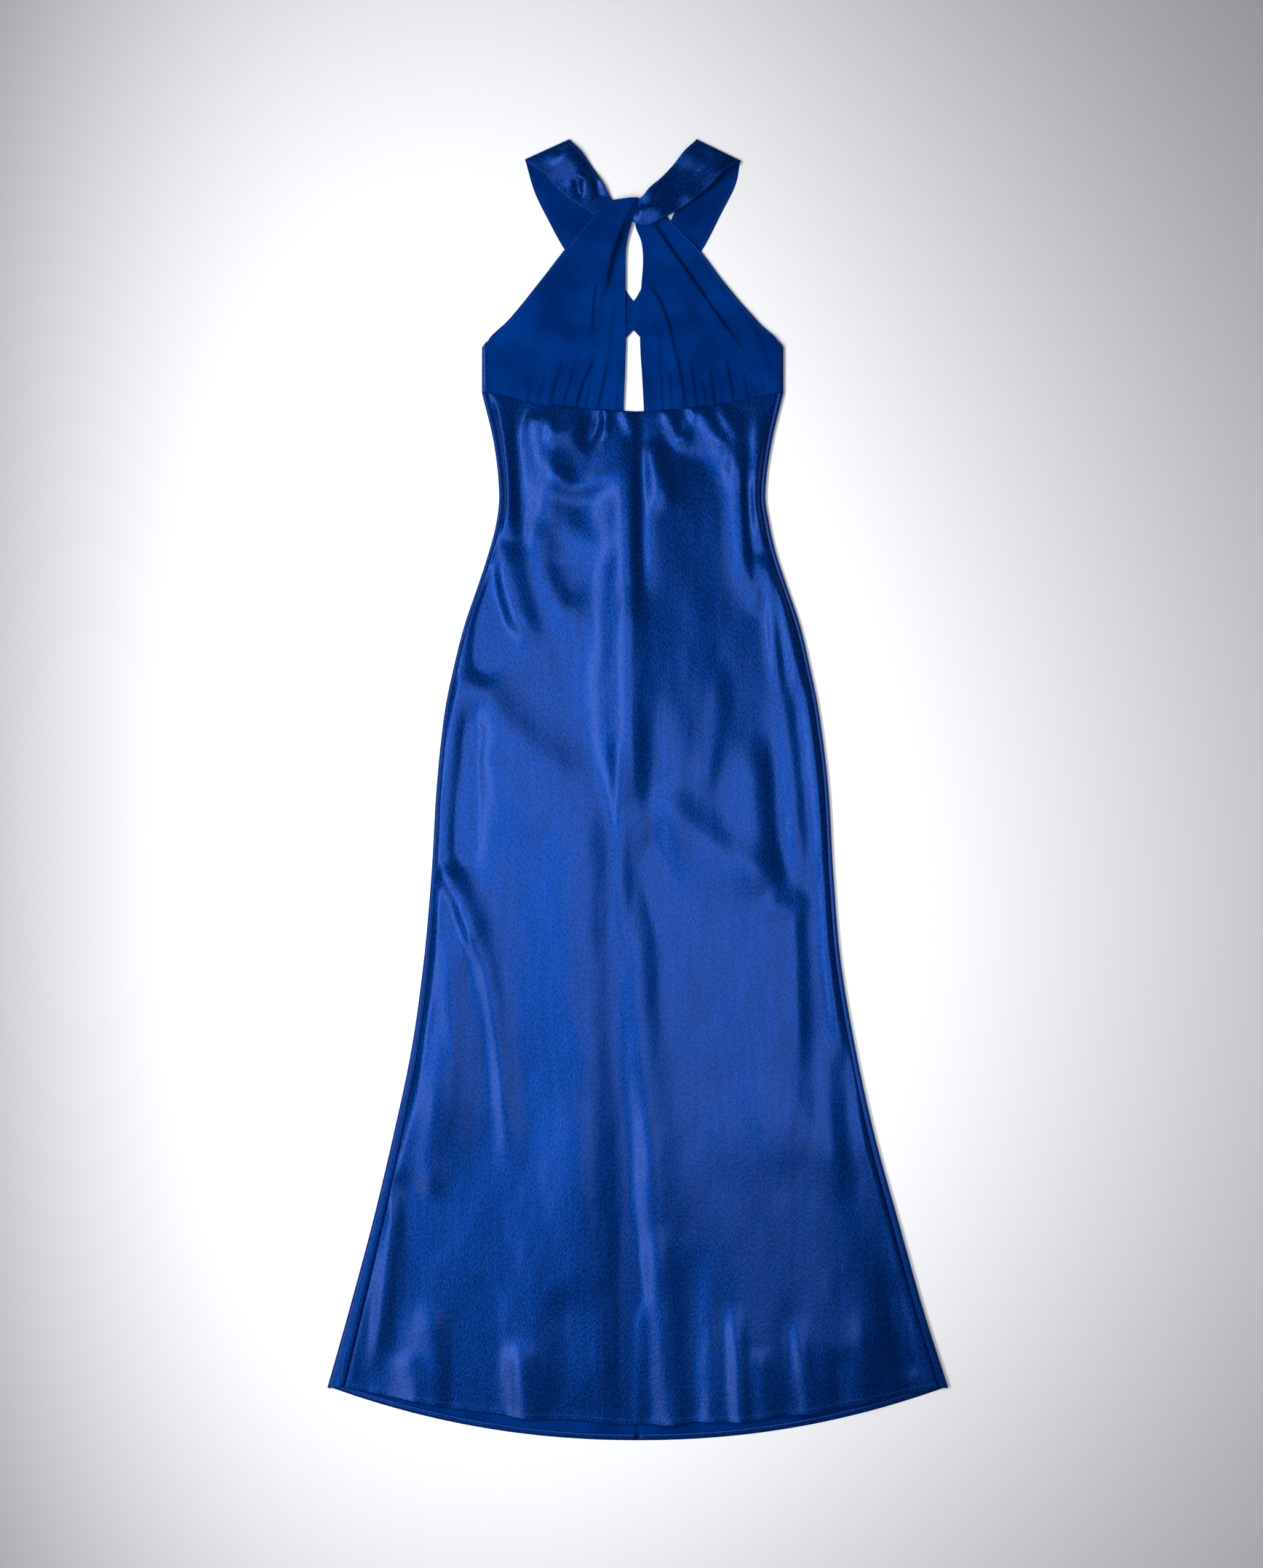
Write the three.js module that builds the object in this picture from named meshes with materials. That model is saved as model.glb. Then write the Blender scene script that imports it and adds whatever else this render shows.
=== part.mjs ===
// A halter maxi dress in satin-backed crepe, laid flat on its back, face up.
// Units are millimetres. +X points to the right as the dress is seen from above with its neck
// away from the viewer, +Y to the neck, +Z up from the surface that the dress lies on. X = 0 is
// the dress's centreline, and left and right in a name are those of the picture, not the wearer.

import * as THREE from 'three';

// Driving dimensions
const CLOTH = 1.2;              // wall of the cloth
const SEAM_GAP = 0.3;           // space between pieces that are sewn together or lie on each other
const SIDE_FOLD = 6;            // outside height of the soft fold along each side
const SHOULDER_FOLD = 5;        // outside height of the fold over the shoulder
const SIDE_SEAM_TOP = 459.5;    // Y of the underbust seam at the sides
const UNDERBUST_DIP = 22;       // how far the underbust seam sags at the centre front
const BACK_TOP_DIP = 30;        // how far the back skirt's top edge sags
const HEM_CORNER = -688;        // Y of the hem at the side folds
const FRONT_HEM_DIP = 43;       // how far the front hem hangs below its corners
const BACK_HEM_DIP = 61.3;      // how far the longer back hem hangs below its corners
const CENTRE_BACK = 6;          // X of the centre-back seam
const UNDERARM_SLANT = 5;       // rise of the side lap's top edge towards the armhole
const CREST_STEPS = 8;          // straight lines that stand for the crest of one fold
const CREST_FADE = 0.3;         // share of a crest over which its ends die out
const SIDE_INSET = 8;           // flat strip along each side, outside the folds
const SIDE_REACH = 22;          // how far in from there the front comes down to the back
const SIDE_FOLD_FADE = 14;      // the folds die out over this width beside the flat strip
const BODICE_REST_START = 330;  // Y at which the front starts to rise over the back straps
const BODICE_REST_SPAN = 90;    // and the height over which it does
const SEAM_BLEND = 0.7;         // share of a bodice panel's length below which it follows the seam
const TWIST = { y: 670, halfWidth: 60, halfHeight: 35, rise: 1.2 };
const UNDER_TWIST = { start: 620, span: 30 };  // Y above which the right panel dips under
const LEFT_STRAP_SWELL = 1.6;   // height of the soft fold along the left strap
const RIGHT_STRAP_SWELL = 2;    // and of the two that open out of the twist along the right one

// Half a wall, and the heights at which the middle of the cloth lies
const HALF = CLOTH / 2;
const LAYER = CLOTH + SEAM_GAP;
const FLOOR_LEVEL = HALF;
const SECOND_LEVEL = HALF + LAYER;
const THIRD_LEVEL = HALF + 2 * LAYER;
const SIDE_LAP_LEVEL = SIDE_FOLD - HALF;
const SHOULDER_LEVEL = SHOULDER_FOLD - HALF;

// Side folds of the skirt at each height, and how far the back wraps over to the front there
const SKIRT_SIDES = [
  { y: 459.5, left: -174, right: 174, lapLeft: 6.5, lapRight: 6.5 },
  { y: 400, left: -160, right: 160, lapLeft: 5, lapRight: 5 },
  { y: 342, left: -154, right: 153, lapLeft: 4.5, lapRight: 5 },
  { y: 308, left: -157.5, right: 157.5, lapLeft: 4.5, lapRight: 5 },
  { y: 275, left: -166, right: 165, lapLeft: 4, lapRight: 5 },
  { y: 241, left: -177, right: 176, lapLeft: 4, lapRight: 5 },
  { y: 191, left: -194, right: 193, lapLeft: 4, lapRight: 5 },
  { y: 140, left: -207, right: 205, lapLeft: 4, lapRight: 4.5 },
  { y: 90, left: -217, right: 215, lapLeft: 4, lapRight: 4.5 },
  { y: 6, left: -226, right: 225.5, lapLeft: 4.5, lapRight: 4.5 },
  { y: -95, left: -232, right: 231.5, lapLeft: 5, lapRight: 5 },
  { y: -196, left: -241, right: 240, lapLeft: 6, lapRight: 5.5 },
  { y: -297, left: -255, right: 257, lapLeft: 7.5, lapRight: 6 },
  { y: -397, left: -276, right: 279, lapLeft: 9.5, lapRight: 7 },
  { y: -498, left: -300, right: 307, lapLeft: 11.5, lapRight: 8 },
  { y: -599, left: -327, right: 335.5, lapLeft: 15, lapRight: 9 },
  { y: -688, left: -352, right: 364, lapLeft: 19, lapRight: 10 },
];

// Crest lines of the folds in the skirt's front, from start through mid to end:
// half-width across the fold, and height above the cloth round it (a trough is below zero)
const SKIRT_FOLDS = [
  // the roll beside each side seam
  { start: [-142, 450], mid: [-140, 342], end: [-119, 236], width: 9, height: 5 },
  { start: [150, 445], mid: [147, 330], end: [166, 120], width: 8, height: 4 },
  // the long fold down the middle
  { start: [-7, 425], mid: [-9, 120], end: [14, -260], width: 17, height: 9 },
  { start: [-46, -60], mid: [-42, -308], end: [-34, -700], width: 18, height: 6 },
  { start: [16, -250], mid: [20, -493], end: [23, -731], width: 20, height: 6 },
  // short folds that run down from the left of the underbust seam
  { start: [-113, 345], mid: [-99, 258], end: [-62, 176], width: 12, height: 5 },
  { start: [-82, 345], mid: [-62, 300], end: [-40, 258], width: 10, height: 4 },
  { start: [-75, 395], mid: [-52, 376], end: [-36, 390], width: 9, height: 4 },
  { start: [-104, 448], mid: [-90, 424], end: [-82, 396], width: 8, height: 4 },
  { start: [-48, 440], mid: [-40, 424], end: [-34, 404], width: 7, height: 3.5 },
  // short folds that run down from the right of the underbust seam
  { start: [34, 436], mid: [52, 420], end: [74, 394], width: 9, height: 5 },
  { start: [72, 440], mid: [86, 420], end: [106, 394], width: 9, height: 5 },
  { start: [24, 425], mid: [30, 380], end: [44, 335], width: 11, height: 4 },
  { start: [112, 420], mid: [121, 300], end: [135, 210], width: 10, height: 5 },
  { start: [146, 380], mid: [146, 290], end: [136, 215], width: 8, height: 4 },
  { start: [152, 284], mid: [158, 220], end: [168, 125], width: 8, height: 5 },
  // the left hip
  { start: [-148, 285], mid: [-132, 216], end: [-92, 150], width: 12, height: 5 },
  { start: [-192, 145], mid: [-158, 88], end: [-50, -10], width: 14, height: 7 },
  { start: [-216, -70], mid: [-186, -139], end: [-156, -300], width: 13, height: 5 },
  // the right hip
  { start: [36, -8], mid: [108, -58], end: [192, -124], width: 15, height: 7 },
  { start: [140, 24], mid: [145, -50], end: [154, -116], width: 10, height: 5 },
  { start: [187, 96], mid: [196, -42], end: [208, -120], width: 10, height: 5 },
  { start: [213, 130], mid: [222, 50], end: [226, -40], width: 8, height: 4 },
  // the lower skirt, down to ripples in the hem
  { start: [-146, -340], mid: [-136, -400], end: [-122, -450], width: 15, height: 4 },
  { start: [-268, -440], mid: [-250, -500], end: [-226, -560], width: 18, height: 4 },
  { start: [-134, -600], mid: [-130, -660], end: [-130, -722], width: 15, height: 5 },
  { start: [44, -570], mid: [38, -650], end: [40, -731], width: 12, height: 5 },
  { start: [120, -600], mid: [122, -660], end: [120, -722], width: 15, height: 5 },
  { start: [222, -430], mid: [246, -540], end: [266, -704], width: 20, height: 6 },
  { start: [276, -390], mid: [310, -510], end: [346, -680], width: 10, height: 4 },
];

// The same for the crepe panels of the bodice
const BODICE_FOLDS = [
  { start: [18, 700], mid: [-26, 622], end: [-44, 540], width: 9, height: 5 },
  { start: [-60, 625], mid: [-86, 575], end: [-112, 535], width: 10, height: 3 },
  { start: [-48, 490], mid: [-60, 470], end: [-66, 448], width: 6, height: 3 },
  { start: [-30, 490], mid: [-37, 468], end: [-40, 446], width: 6, height: 3 },
  { start: [-96, 485], mid: [-98, 470], end: [-98, 450], width: 6, height: 3 },
  { start: [22, 645], mid: [62, 600], end: [124, 500], width: 11, height: 5 },
  { start: [16, 590], mid: [40, 545], end: [44, 500], width: 9, height: 4 },
  { start: [66, 482], mid: [69, 466], end: [70, 448], width: 6, height: 3 },
  { start: [108, 484], mid: [110, 468], end: [112, 454], width: 6, height: 3 },
];

// Edges of the crepe panels from the twist down to the seam: the outer one is the armhole and
// the side seam, the inner one the keyhole
const LEFT_PANEL_EDGES = [
  { outer: [-23, 681], inner: [7.5, 683.5] },
  { outer: [-35, 675], inner: [3.2, 670] },
  { outer: [-44, 664], inner: [-0.5, 656.5] },
  { outer: [-78, 624], inner: [-7, 629] },
  { outer: [-106, 588], inner: [-8, 590] },
  { outer: [-143, 543], inner: [-8, 552] },
  { outer: [-166.5, 519], inner: [-7.5, 520] },
  { outer: [-167, 505], inner: [-8, 505] },
  { outer: [-167, 480], inner: [-9, 475] },
  { outer: [-167, 459.5], inner: [-10.5, 437.5] },
];
const RIGHT_PANEL_EDGES = [
  { outer: [33, 676], inner: [8, 668] },
  { outer: [41, 661], inner: [3, 654] },
  { outer: [58, 643], inner: [10, 633] },
  { outer: [79, 621], inner: [12, 612] },
  { outer: [110, 580], inner: [10, 582] },
  { outer: [147, 538], inner: [9, 552] },
  { outer: [166.5, 519], inner: [8.5, 522] },
  { outer: [167, 505], inner: [9, 505] },
  { outer: [167, 480], inner: [11, 475] },
  { outer: [167, 459.5], inner: [13, 437.5] },
];

// Edges of the satin straps in front, from the shoulder down to the twist, and how far the
// middle of the cloth lies above the surface
const LEFT_STRAP_EDGES = [
  { outer: [-124, 728.5], inner: [-73, 752], z: SHOULDER_LEVEL },
  { outer: [-103, 712], inner: [-60.5, 738], z: 4.2 },
  { outer: [-89, 697], inner: [-46, 718], z: 3.6 },
  { outer: [-70, 680], inner: [-33.5, 699], z: 3 },
  { outer: [-44, 663.5], inner: [-24, 682], z: 2.4 },
  { outer: [-30, 655], inner: [-14, 671], z: 2.1 },
];
const RIGHT_STRAP_EDGES = [
  { outer: [124.5, 727], inner: [73.5, 752], z: SHOULDER_LEVEL },
  { outer: [106, 713.5], inner: [60, 738], z: 4.2 },
  { outer: [80, 689], inner: [46, 721], z: 4 },
  { outer: [53, 670], inner: [32, 706], z: 4.2 },
  { outer: [31, 657.5], inner: [19.5, 695], z: 4.4 },
  { outer: [14, 651.5], inner: [10, 684], z: 4.8 },
  { outer: [-3, 657], inner: [2, 680], z: 5 },
];

// Edges of the back straps, from the shoulder to the far side seam. They cross at the centre
// back, where each is drawn narrow; lift raises the one that passes over
const LEFT_BACK_STRAP_EDGES = [
  { outer: [-124.5, 728.5], inner: [-73, 752], lift: 0 },
  { outer: [-113.5, 692], inner: [-52, 693], lift: 0 },
  { outer: [-96.5, 657], inner: [-38, 657], lift: 0 },
  { outer: [-78, 624], inner: [-24, 624], lift: 0 },
  { outer: [-42, 577], inner: [-8, 579], lift: 0 },
  { outer: [1, 532], inner: [1.5, 565], lift: 0 },
  { outer: [20, 512], inner: [24, 545], lift: 0 },
  { outer: [60, 484], inner: [68, 527], lift: 0 },
  { outer: [110, 467], inner: [116, 518], lift: 0 },
  { outer: [160, 459.8], inner: [160, 513], lift: 0 },
];
const RIGHT_BACK_STRAP_EDGES = [
  { outer: [125, 727], inner: [73.5, 752], lift: 0 },
  { outer: [119, 701], inner: [60, 696], lift: 0 },
  { outer: [101.5, 665], inner: [46.5, 664], lift: 0 },
  { outer: [78, 621], inner: [26, 621], lift: 0.4 },
  { outer: [43, 577], inner: [9.5, 579], lift: LAYER },
  { outer: [1.5, 532], inner: [1, 565], lift: LAYER },
  { outer: [-18, 512], inner: [-22, 545], lift: LAYER },
  { outer: [-58, 484], inner: [-66, 527], lift: 0.4 },
  { outer: [-108, 467], inner: [-114, 518], lift: 0 },
  { outer: [-160, 459.8], inner: [-160, 513], lift: 0 },
];

// Satin face and crepe face of the same cloth
const SATIN = { color: 0x1d4bab, roughness: 0.35, metalness: 0 };
const CREPE = { color: 0x03296b, roughness: 0.85, metalness: 0 };

// A smooth value of one column of a table at height y, for rows that go down in y
function columnAt(table, column, y) {
  let row = table.findIndex((entry) => entry.y <= y);
  if (row < 0) row = table.length - 1;
  row = Math.max(row, 1);
  const above = table[row - 1];
  const below = table[row];
  const before = table[Math.max(row - 2, 0)];
  const after = table[Math.min(row + 1, table.length - 1)];
  const span = above.y - below.y;
  const t = (above.y - y) / span;
  if (t > 1 || t < 0) return above[column] + (below[column] - above[column]) * t;
  const slopeIn = (below[column] - before[column]) / (before.y - below.y || span) * span;
  const slopeOut = (after[column] - above[column]) / (above.y - after.y || span) * span;
  const t2 = t * t;
  const t3 = t2 * t;
  return above[column] * (2 * t3 - 3 * t2 + 1) + slopeIn * (t3 - 2 * t2 + t)
    + below[column] * (3 * t2 - 2 * t3) + slopeOut * (t3 - t2);
}

const smoothStep = (t) => {
  const clamped = THREE.MathUtils.clamp(t, 0, 1);
  return clamped * clamped * (3 - 2 * clamped);
};

// Distance from a point to a fold's crest line, and how far along the crest the nearest point is
function nearestOnCrest(fold, x, y) {
  // the control point makes the curve pass through the fold's mid point
  const controlX = 2 * fold.mid[0] - (fold.start[0] + fold.end[0]) / 2;
  const controlY = 2 * fold.mid[1] - (fold.start[1] + fold.end[1]) / 2;
  let best = { distance: Infinity, along: 0 };
  let [fromX, fromY] = fold.start;
  for (let step = 1; step <= CREST_STEPS; step += 1) {
    const t = step / CREST_STEPS;
    const a = (1 - t) * (1 - t);
    const b = 2 * t * (1 - t);
    const c = t * t;
    const toX = a * fold.start[0] + b * controlX + c * fold.end[0];
    const toY = a * fold.start[1] + b * controlY + c * fold.end[1];
    const dx = toX - fromX;
    const dy = toY - fromY;
    const share = THREE.MathUtils.clamp(
      ((x - fromX) * dx + (y - fromY) * dy) / (dx * dx + dy * dy), 0, 1);
    const distance = Math.hypot(x - fromX - share * dx, y - fromY - share * dy);
    if (distance < best.distance) best = { distance, along: (step - 1 + share) / CREST_STEPS };
    fromX = toX;
    fromY = toY;
  }
  return best;
}

// Height that a table of folds adds at a point: round crests that fade out at both ends
function foldHeight(folds, x, y) {
  let height = 0;
  for (const fold of folds) {
    const { distance, along } = nearestOnCrest(fold, x, y);
    const across = Math.exp(-((distance / fold.width) ** 2));
    const fade = Math.min(
      smoothStep(along / CREST_FADE + 0.25), smoothStep((1 - along) / CREST_FADE + 0.25));
    height += fold.height * across * fade;
  }
  return height;
}

// Middle of the front layer, without folds: it lies on the back and rises to meet the side laps
function frontLevel(x, y) {
  const left = columnAt(SKIRT_SIDES, 'left', Math.min(y, SIDE_SEAM_TOP));
  const right = columnAt(SKIRT_SIDES, 'right', Math.min(y, SIDE_SEAM_TOP));
  const inset = Math.max(Math.min(x - left, right - x) - SIDE_INSET, 0);
  const resting = THREE.MathUtils.lerp(
    SECOND_LEVEL, THIRD_LEVEL, smoothStep((y - BODICE_REST_START) / BODICE_REST_SPAN));
  const rise = (SIDE_LAP_LEVEL - resting) * Math.exp(-((inset / SIDE_REACH) ** 2));
  return resting + rise;
}

// Folds die out on the seam line at each side, where the panel joins the lap
function sideFade(x, y) {
  const left = columnAt(SKIRT_SIDES, 'left', Math.min(y, SIDE_SEAM_TOP));
  const right = columnAt(SKIRT_SIDES, 'right', Math.min(y, SIDE_SEAM_TOP));
  return smoothStep((Math.min(x - left, right - x) - SIDE_INSET) / SIDE_FOLD_FADE);
}

function frontHeight(x, y) {
  const folds = foldHeight(SKIRT_FOLDS, x, y) + foldHeight(BODICE_FOLDS, x, y);
  return frontLevel(x, y) + folds * sideFade(x, y);
}

// Side edges of the front panel at a height, a seam's gap inside the back's laps
function sideSeams(y) {
  return {
    left: columnAt(SKIRT_SIDES, 'left', y) + columnAt(SKIRT_SIDES, 'lapLeft', y) + SEAM_GAP,
    right: columnAt(SKIRT_SIDES, 'right', y) - columnAt(SKIRT_SIDES, 'lapRight', y) - SEAM_GAP,
  };
}

// Where the pieces end: the underbust seam, the back's top edge and the two hems, for a place
// across the skirt from 0 at its left fold to 1 at its right
const bow = (across, power) => 1 - Math.abs(2 * across - 1) ** power;
const underbustSeam = (across) => SIDE_SEAM_TOP - UNDERBUST_DIP * bow(across, 1.8);
const backTop = (across) => SIDE_SEAM_TOP - BACK_TOP_DIP * bow(across, 2);
const frontHem = (across) => HEM_CORNER - FRONT_HEM_DIP * bow(across, 1.8);
const backHem = (across) => HEM_CORNER - BACK_HEM_DIP * bow(across, 2.1);

// A closed wall of cloth round a grid of points in its middle. Rows of the grid go down the
// piece and columns from left to right, so the wall's top side faces up
function clothShell(grid) {
  const rows = grid.length;
  const columns = grid[0].length;
  const positions = [];
  const pushSide = (side) => {
    for (let row = 0; row < rows; row += 1) {
      for (let column = 0; column < columns; column += 1) {
        const across = new THREE.Vector3().subVectors(
          grid[row][Math.min(column + 1, columns - 1)],
          grid[row][Math.max(column - 1, 0)],
        );
        const down = new THREE.Vector3().subVectors(
          grid[Math.min(row + 1, rows - 1)][column],
          grid[Math.max(row - 1, 0)][column],
        );
        const normal = down.cross(across).normalize();
        const point = grid[row][column].clone().addScaledVector(normal, side * HALF);
        positions.push(point.x, point.y, point.z);
      }
    }
  };
  pushSide(1);
  pushSide(-1);

  const index = [];
  const below = rows * columns;
  const at = (row, column) => row * columns + column;
  for (let row = 0; row < rows - 1; row += 1) {
    for (let column = 0; column < columns - 1; column += 1) {
      const a = at(row, column);
      const b = at(row + 1, column);
      const c = at(row + 1, column + 1);
      const d = at(row, column + 1);
      index.push(a, b, c, a, c, d);
      index.push(below + a, below + c, below + b, below + a, below + d, below + c);
    }
  }
  const rim = [];
  for (let row = 0; row < rows - 1; row += 1) rim.push(at(row, 0));
  for (let column = 0; column < columns - 1; column += 1) rim.push(at(rows - 1, column));
  for (let row = rows - 1; row > 0; row -= 1) rim.push(at(row, columns - 1));
  for (let column = columns - 1; column > 0; column -= 1) rim.push(at(0, column));
  rim.forEach((from, place) => {
    const to = rim[(place + 1) % rim.length];
    index.push(to, from, below + from, to, below + from, below + to);
  });

  const geometry = new THREE.BufferGeometry();
  geometry.setAttribute('position', new THREE.Float32BufferAttribute(positions, 3));
  geometry.setIndex(index);
  geometry.computeVertexNormals();
  return geometry;
}

// A named piece of cloth from its grid
function clothPiece(name, face, grid) {
  const piece = new THREE.Mesh(clothShell(grid), new THREE.MeshStandardMaterial(face));
  piece.name = name;
  return piece;
}

// The skirt's front panel, from one side seam to the other
function skirtFrontGrid(rows, columns) {
  const grid = [];
  for (let row = 0; row <= rows; row += 1) {
    const down = row / rows;
    const { left, right } = sideSeams(THREE.MathUtils.lerp(SIDE_SEAM_TOP, HEM_CORNER, down));
    const line = [];
    for (let column = 0; column <= columns; column += 1) {
      const across = column / columns;
      const x = THREE.MathUtils.lerp(left, right, across);
      const y = THREE.MathUtils.lerp(underbustSeam(across), frontHem(across), down);
      line.push(new THREE.Vector3(x, y, frontHeight(x, y)));
    }
    grid.push(line);
  }
  return grid;
}

// Half of the skirt's back: flat from the centre-back seam to the side, round the soft fold
// there, and back over the top as far as the side seam
function skirtBackGrid(side, rows) {
  const flatColumns = 4;
  const foldColumns = 5;
  const radius = (SIDE_FOLD - CLOTH) / 2;
  const centre = side * CENTRE_BACK + SEAM_GAP / 2;
  const grid = [];
  for (let row = 0; row <= rows; row += 1) {
    const down = row / rows;
    const sideY = THREE.MathUtils.lerp(SIDE_SEAM_TOP, HEM_CORNER, down);
    const edge = Math.abs(columnAt(SKIRT_SIDES, side < 0 ? 'left' : 'right', sideY));
    const lap = columnAt(SKIRT_SIDES, side < 0 ? 'lapLeft' : 'lapRight', sideY);
    const turn = edge - HALF - radius;
    const line = [];
    for (let column = 0; column < flatColumns; column += 1) {
      const out = column / flatColumns;
      const across = 0.5 + 0.5 * out;
      const x = side * THREE.MathUtils.lerp(centre, turn, out);
      const y = THREE.MathUtils.lerp(backTop(across), backHem(across), down);
      line.push(new THREE.Vector3(x, y, FLOOR_LEVEL));
    }
    for (let step = 0; step <= foldColumns; step += 1) {
      const angle = Math.PI * step / foldColumns;
      const x = side * (turn + radius * Math.sin(angle));
      line.push(new THREE.Vector3(x, sideY, FLOOR_LEVEL + radius * (1 - Math.cos(angle))));
    }
    line.push(new THREE.Vector3(side * (edge - lap), sideY, SIDE_LAP_LEVEL));
    grid.push(side < 0 ? line.reverse() : line);
  }
  return grid;
}

// A crepe panel of the bodice between its outer and keyhole edges. Its lowest row follows the
// underbust seam, and raise lifts the cloth at the twist over what lies under it
function bodiceGrid(edges, side, rows, columns, raise) {
  const outerCurve = new THREE.CatmullRomCurve3(
    edges.map(({ outer }) => new THREE.Vector3(outer[0], outer[1], 0)), false, 'centripetal');
  const innerCurve = new THREE.CatmullRomCurve3(
    edges.map(({ inner }) => new THREE.Vector3(inner[0], inner[1], 0)), false, 'centripetal');
  const { left, right } = sideSeams(SIDE_SEAM_TOP);
  const grid = [];
  for (let row = 0; row <= rows; row += 1) {
    const outer = outerCurve.getPoint(row / rows);
    const inner = innerCurve.getPoint(row / rows);
    const line = [];
    for (let column = 0; column <= columns; column += 1) {
      const point = new THREE.Vector3().lerpVectors(outer, inner, column / columns);
      const seam = underbustSeam((point.x - left) / (right - left)) + SEAM_GAP;
      const straight = THREE.MathUtils.lerp(
        outerCurve.getPoint(1).y, innerCurve.getPoint(1).y, column / columns);
      point.y += (seam - straight) * smoothStep((row / rows - SEAM_BLEND) / (1 - SEAM_BLEND));
      point.z = frontHeight(point.x, point.y) + raise(point.x, point.y);
      line.push(point);
    }
    grid.push(side < 0 ? line : line.reverse());
  }
  return grid;
}

// A strip of cloth between two edge lines of 3D points, with a profile raised across it
function stripGrid(outerPoints, innerPoints, side, rows, columns, profile) {
  const outerCurve = new THREE.CatmullRomCurve3(outerPoints, false, 'centripetal');
  const innerCurve = new THREE.CatmullRomCurve3(innerPoints, false, 'centripetal');
  const grid = [];
  for (let row = 0; row <= rows; row += 1) {
    const outer = outerCurve.getPoint(row / rows);
    const inner = innerCurve.getPoint(row / rows);
    const line = [];
    for (let column = 0; column <= columns; column += 1) {
      const point = new THREE.Vector3().lerpVectors(outer, inner, column / columns);
      point.z += profile(row / rows, column / columns);
      line.push(point);
    }
    grid.push(side < 0 ? line : line.reverse());
  }
  return grid;
}

// Direction away from the dress at a strap's first row, square to the fold over the shoulder
function shoulderDirection(edges) {
  const { outer, inner } = edges[0];
  const along = new THREE.Vector3(inner[0] - outer[0], inner[1] - outer[1], 0).normalize();
  const direction = new THREE.Vector3(-along.y, along.x, 0);
  return direction.y > 0 ? direction : direction.negate();
}

// Half-turn from the surface up to the height of a fold: four points beyond the last flat one
function halfTurn(from, outward, height) {
  const radius = (height - CLOTH) / 2;
  return [0.25, 0.5, 0.75, 1].map((turn) => from.clone()
    .addScaledVector(outward, radius * Math.sin(Math.PI * turn))
    .setZ(FLOOR_LEVEL + radius * (1 - Math.cos(Math.PI * turn))));
}

// A front strap from the fold over its shoulder down to the twist, with a profile across it
function frontStrapGrid(edges, side, rows, columns, profile) {
  const outward = shoulderDirection(edges);
  const [outer, inner] = ['outer', 'inner'].map((key) => {
    const points = edges.map((row) => new THREE.Vector3(...row[key], row.z));
    points[0].addScaledVector(outward, -SHOULDER_FOLD / 2 - SEAM_GAP);
    return points;
  });
  return stripGrid(outer, inner, side, rows, columns, profile);
}

// A back strap: over the shoulder fold, down across the centre back, round the far side fold
// and back over the top as far as the side seam
function backStrapGrid(edges, side, rows, columns) {
  const shoulderOut = shoulderDirection(edges);
  const sideOut = new THREE.Vector3(-side, 0, 0);
  const sideTurn = columnAt(SKIRT_SIDES, 'right', SIDE_SEAM_TOP) - SIDE_FOLD / 2;
  const lapLength = columnAt(SKIRT_SIDES, 'lapRight', SIDE_SEAM_TOP) - SIDE_FOLD / 2;
  const [outer, inner] = ['outer', 'inner'].map((key) => {
    const flat = edges.map((row) => new THREE.Vector3(...row[key], FLOOR_LEVEL + row.lift));
    flat[0].addScaledVector(shoulderOut, -SHOULDER_FOLD / 2);
    const last = flat[flat.length - 1].setX(-side * sideTurn);
    const shoulder = halfTurn(flat[0], shoulderOut, SHOULDER_FOLD).reverse();
    const turn = halfTurn(last, sideOut, SIDE_FOLD);
    const lap = turn[turn.length - 1].clone().addScaledVector(sideOut, -lapLength);
    if (key === 'inner') lap.y += UNDERARM_SLANT;
    return [...shoulder, ...flat, ...turn, lap];
  });
  return stripGrid(outer, inner, side, rows, columns, () => 0);
}

// Near the twist the left panel lies over the straps' ends, and the right one under them
const leftRaise = (x, y) => TWIST.rise
  * Math.exp(-((x / TWIST.halfWidth) ** 2) - (((y - TWIST.y) / TWIST.halfHeight) ** 2));
const rightRaise = (x, y) => -LAYER * smoothStep((y - UNDER_TWIST.start) / UNDER_TWIST.span);

// One soft fold along the left strap, and two that open out of the twist along the right one
const leftStrapProfile = (t, u) => LEFT_STRAP_SWELL
  * Math.sin(Math.PI * u) * smoothStep(t / 0.2) * smoothStep((0.7 - t) / 0.4);
const rightStrapProfile = (t, u) => RIGHT_STRAP_SWELL
  * Math.sin(2 * Math.PI * u) ** 2 * Math.sin(Math.PI * t);

const dress = new THREE.Group();
dress.name = 'halter_dress';
const addPiece = (name, face, grid) => dress.add(clothPiece(name, face, grid));
addPiece('skirt_front', SATIN, skirtFrontGrid(34, 36));
addPiece('skirt_back_left', SATIN, skirtBackGrid(-1, 34));
addPiece('skirt_back_right', SATIN, skirtBackGrid(1, 34));
addPiece('bodice_front_left', CREPE, bodiceGrid(LEFT_PANEL_EDGES, -1, 20, 14, leftRaise));
addPiece('bodice_front_right', CREPE, bodiceGrid(RIGHT_PANEL_EDGES, 1, 20, 14, rightRaise));
addPiece('strap_front_left', SATIN,
  frontStrapGrid(LEFT_STRAP_EDGES, -1, 15, 8, leftStrapProfile));
addPiece('strap_front_right', SATIN,
  frontStrapGrid(RIGHT_STRAP_EDGES, 1, 15, 8, rightStrapProfile));
addPiece('strap_back_left', CREPE, backStrapGrid(LEFT_BACK_STRAP_EDGES, -1, 54, 4));
addPiece('strap_back_right', CREPE, backStrapGrid(RIGHT_BACK_STRAP_EDGES, 1, 54, 4));

export default dress;
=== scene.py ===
import math
import random

import bmesh
import bpy
import numpy as np
from mathutils import Matrix, Vector


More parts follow.
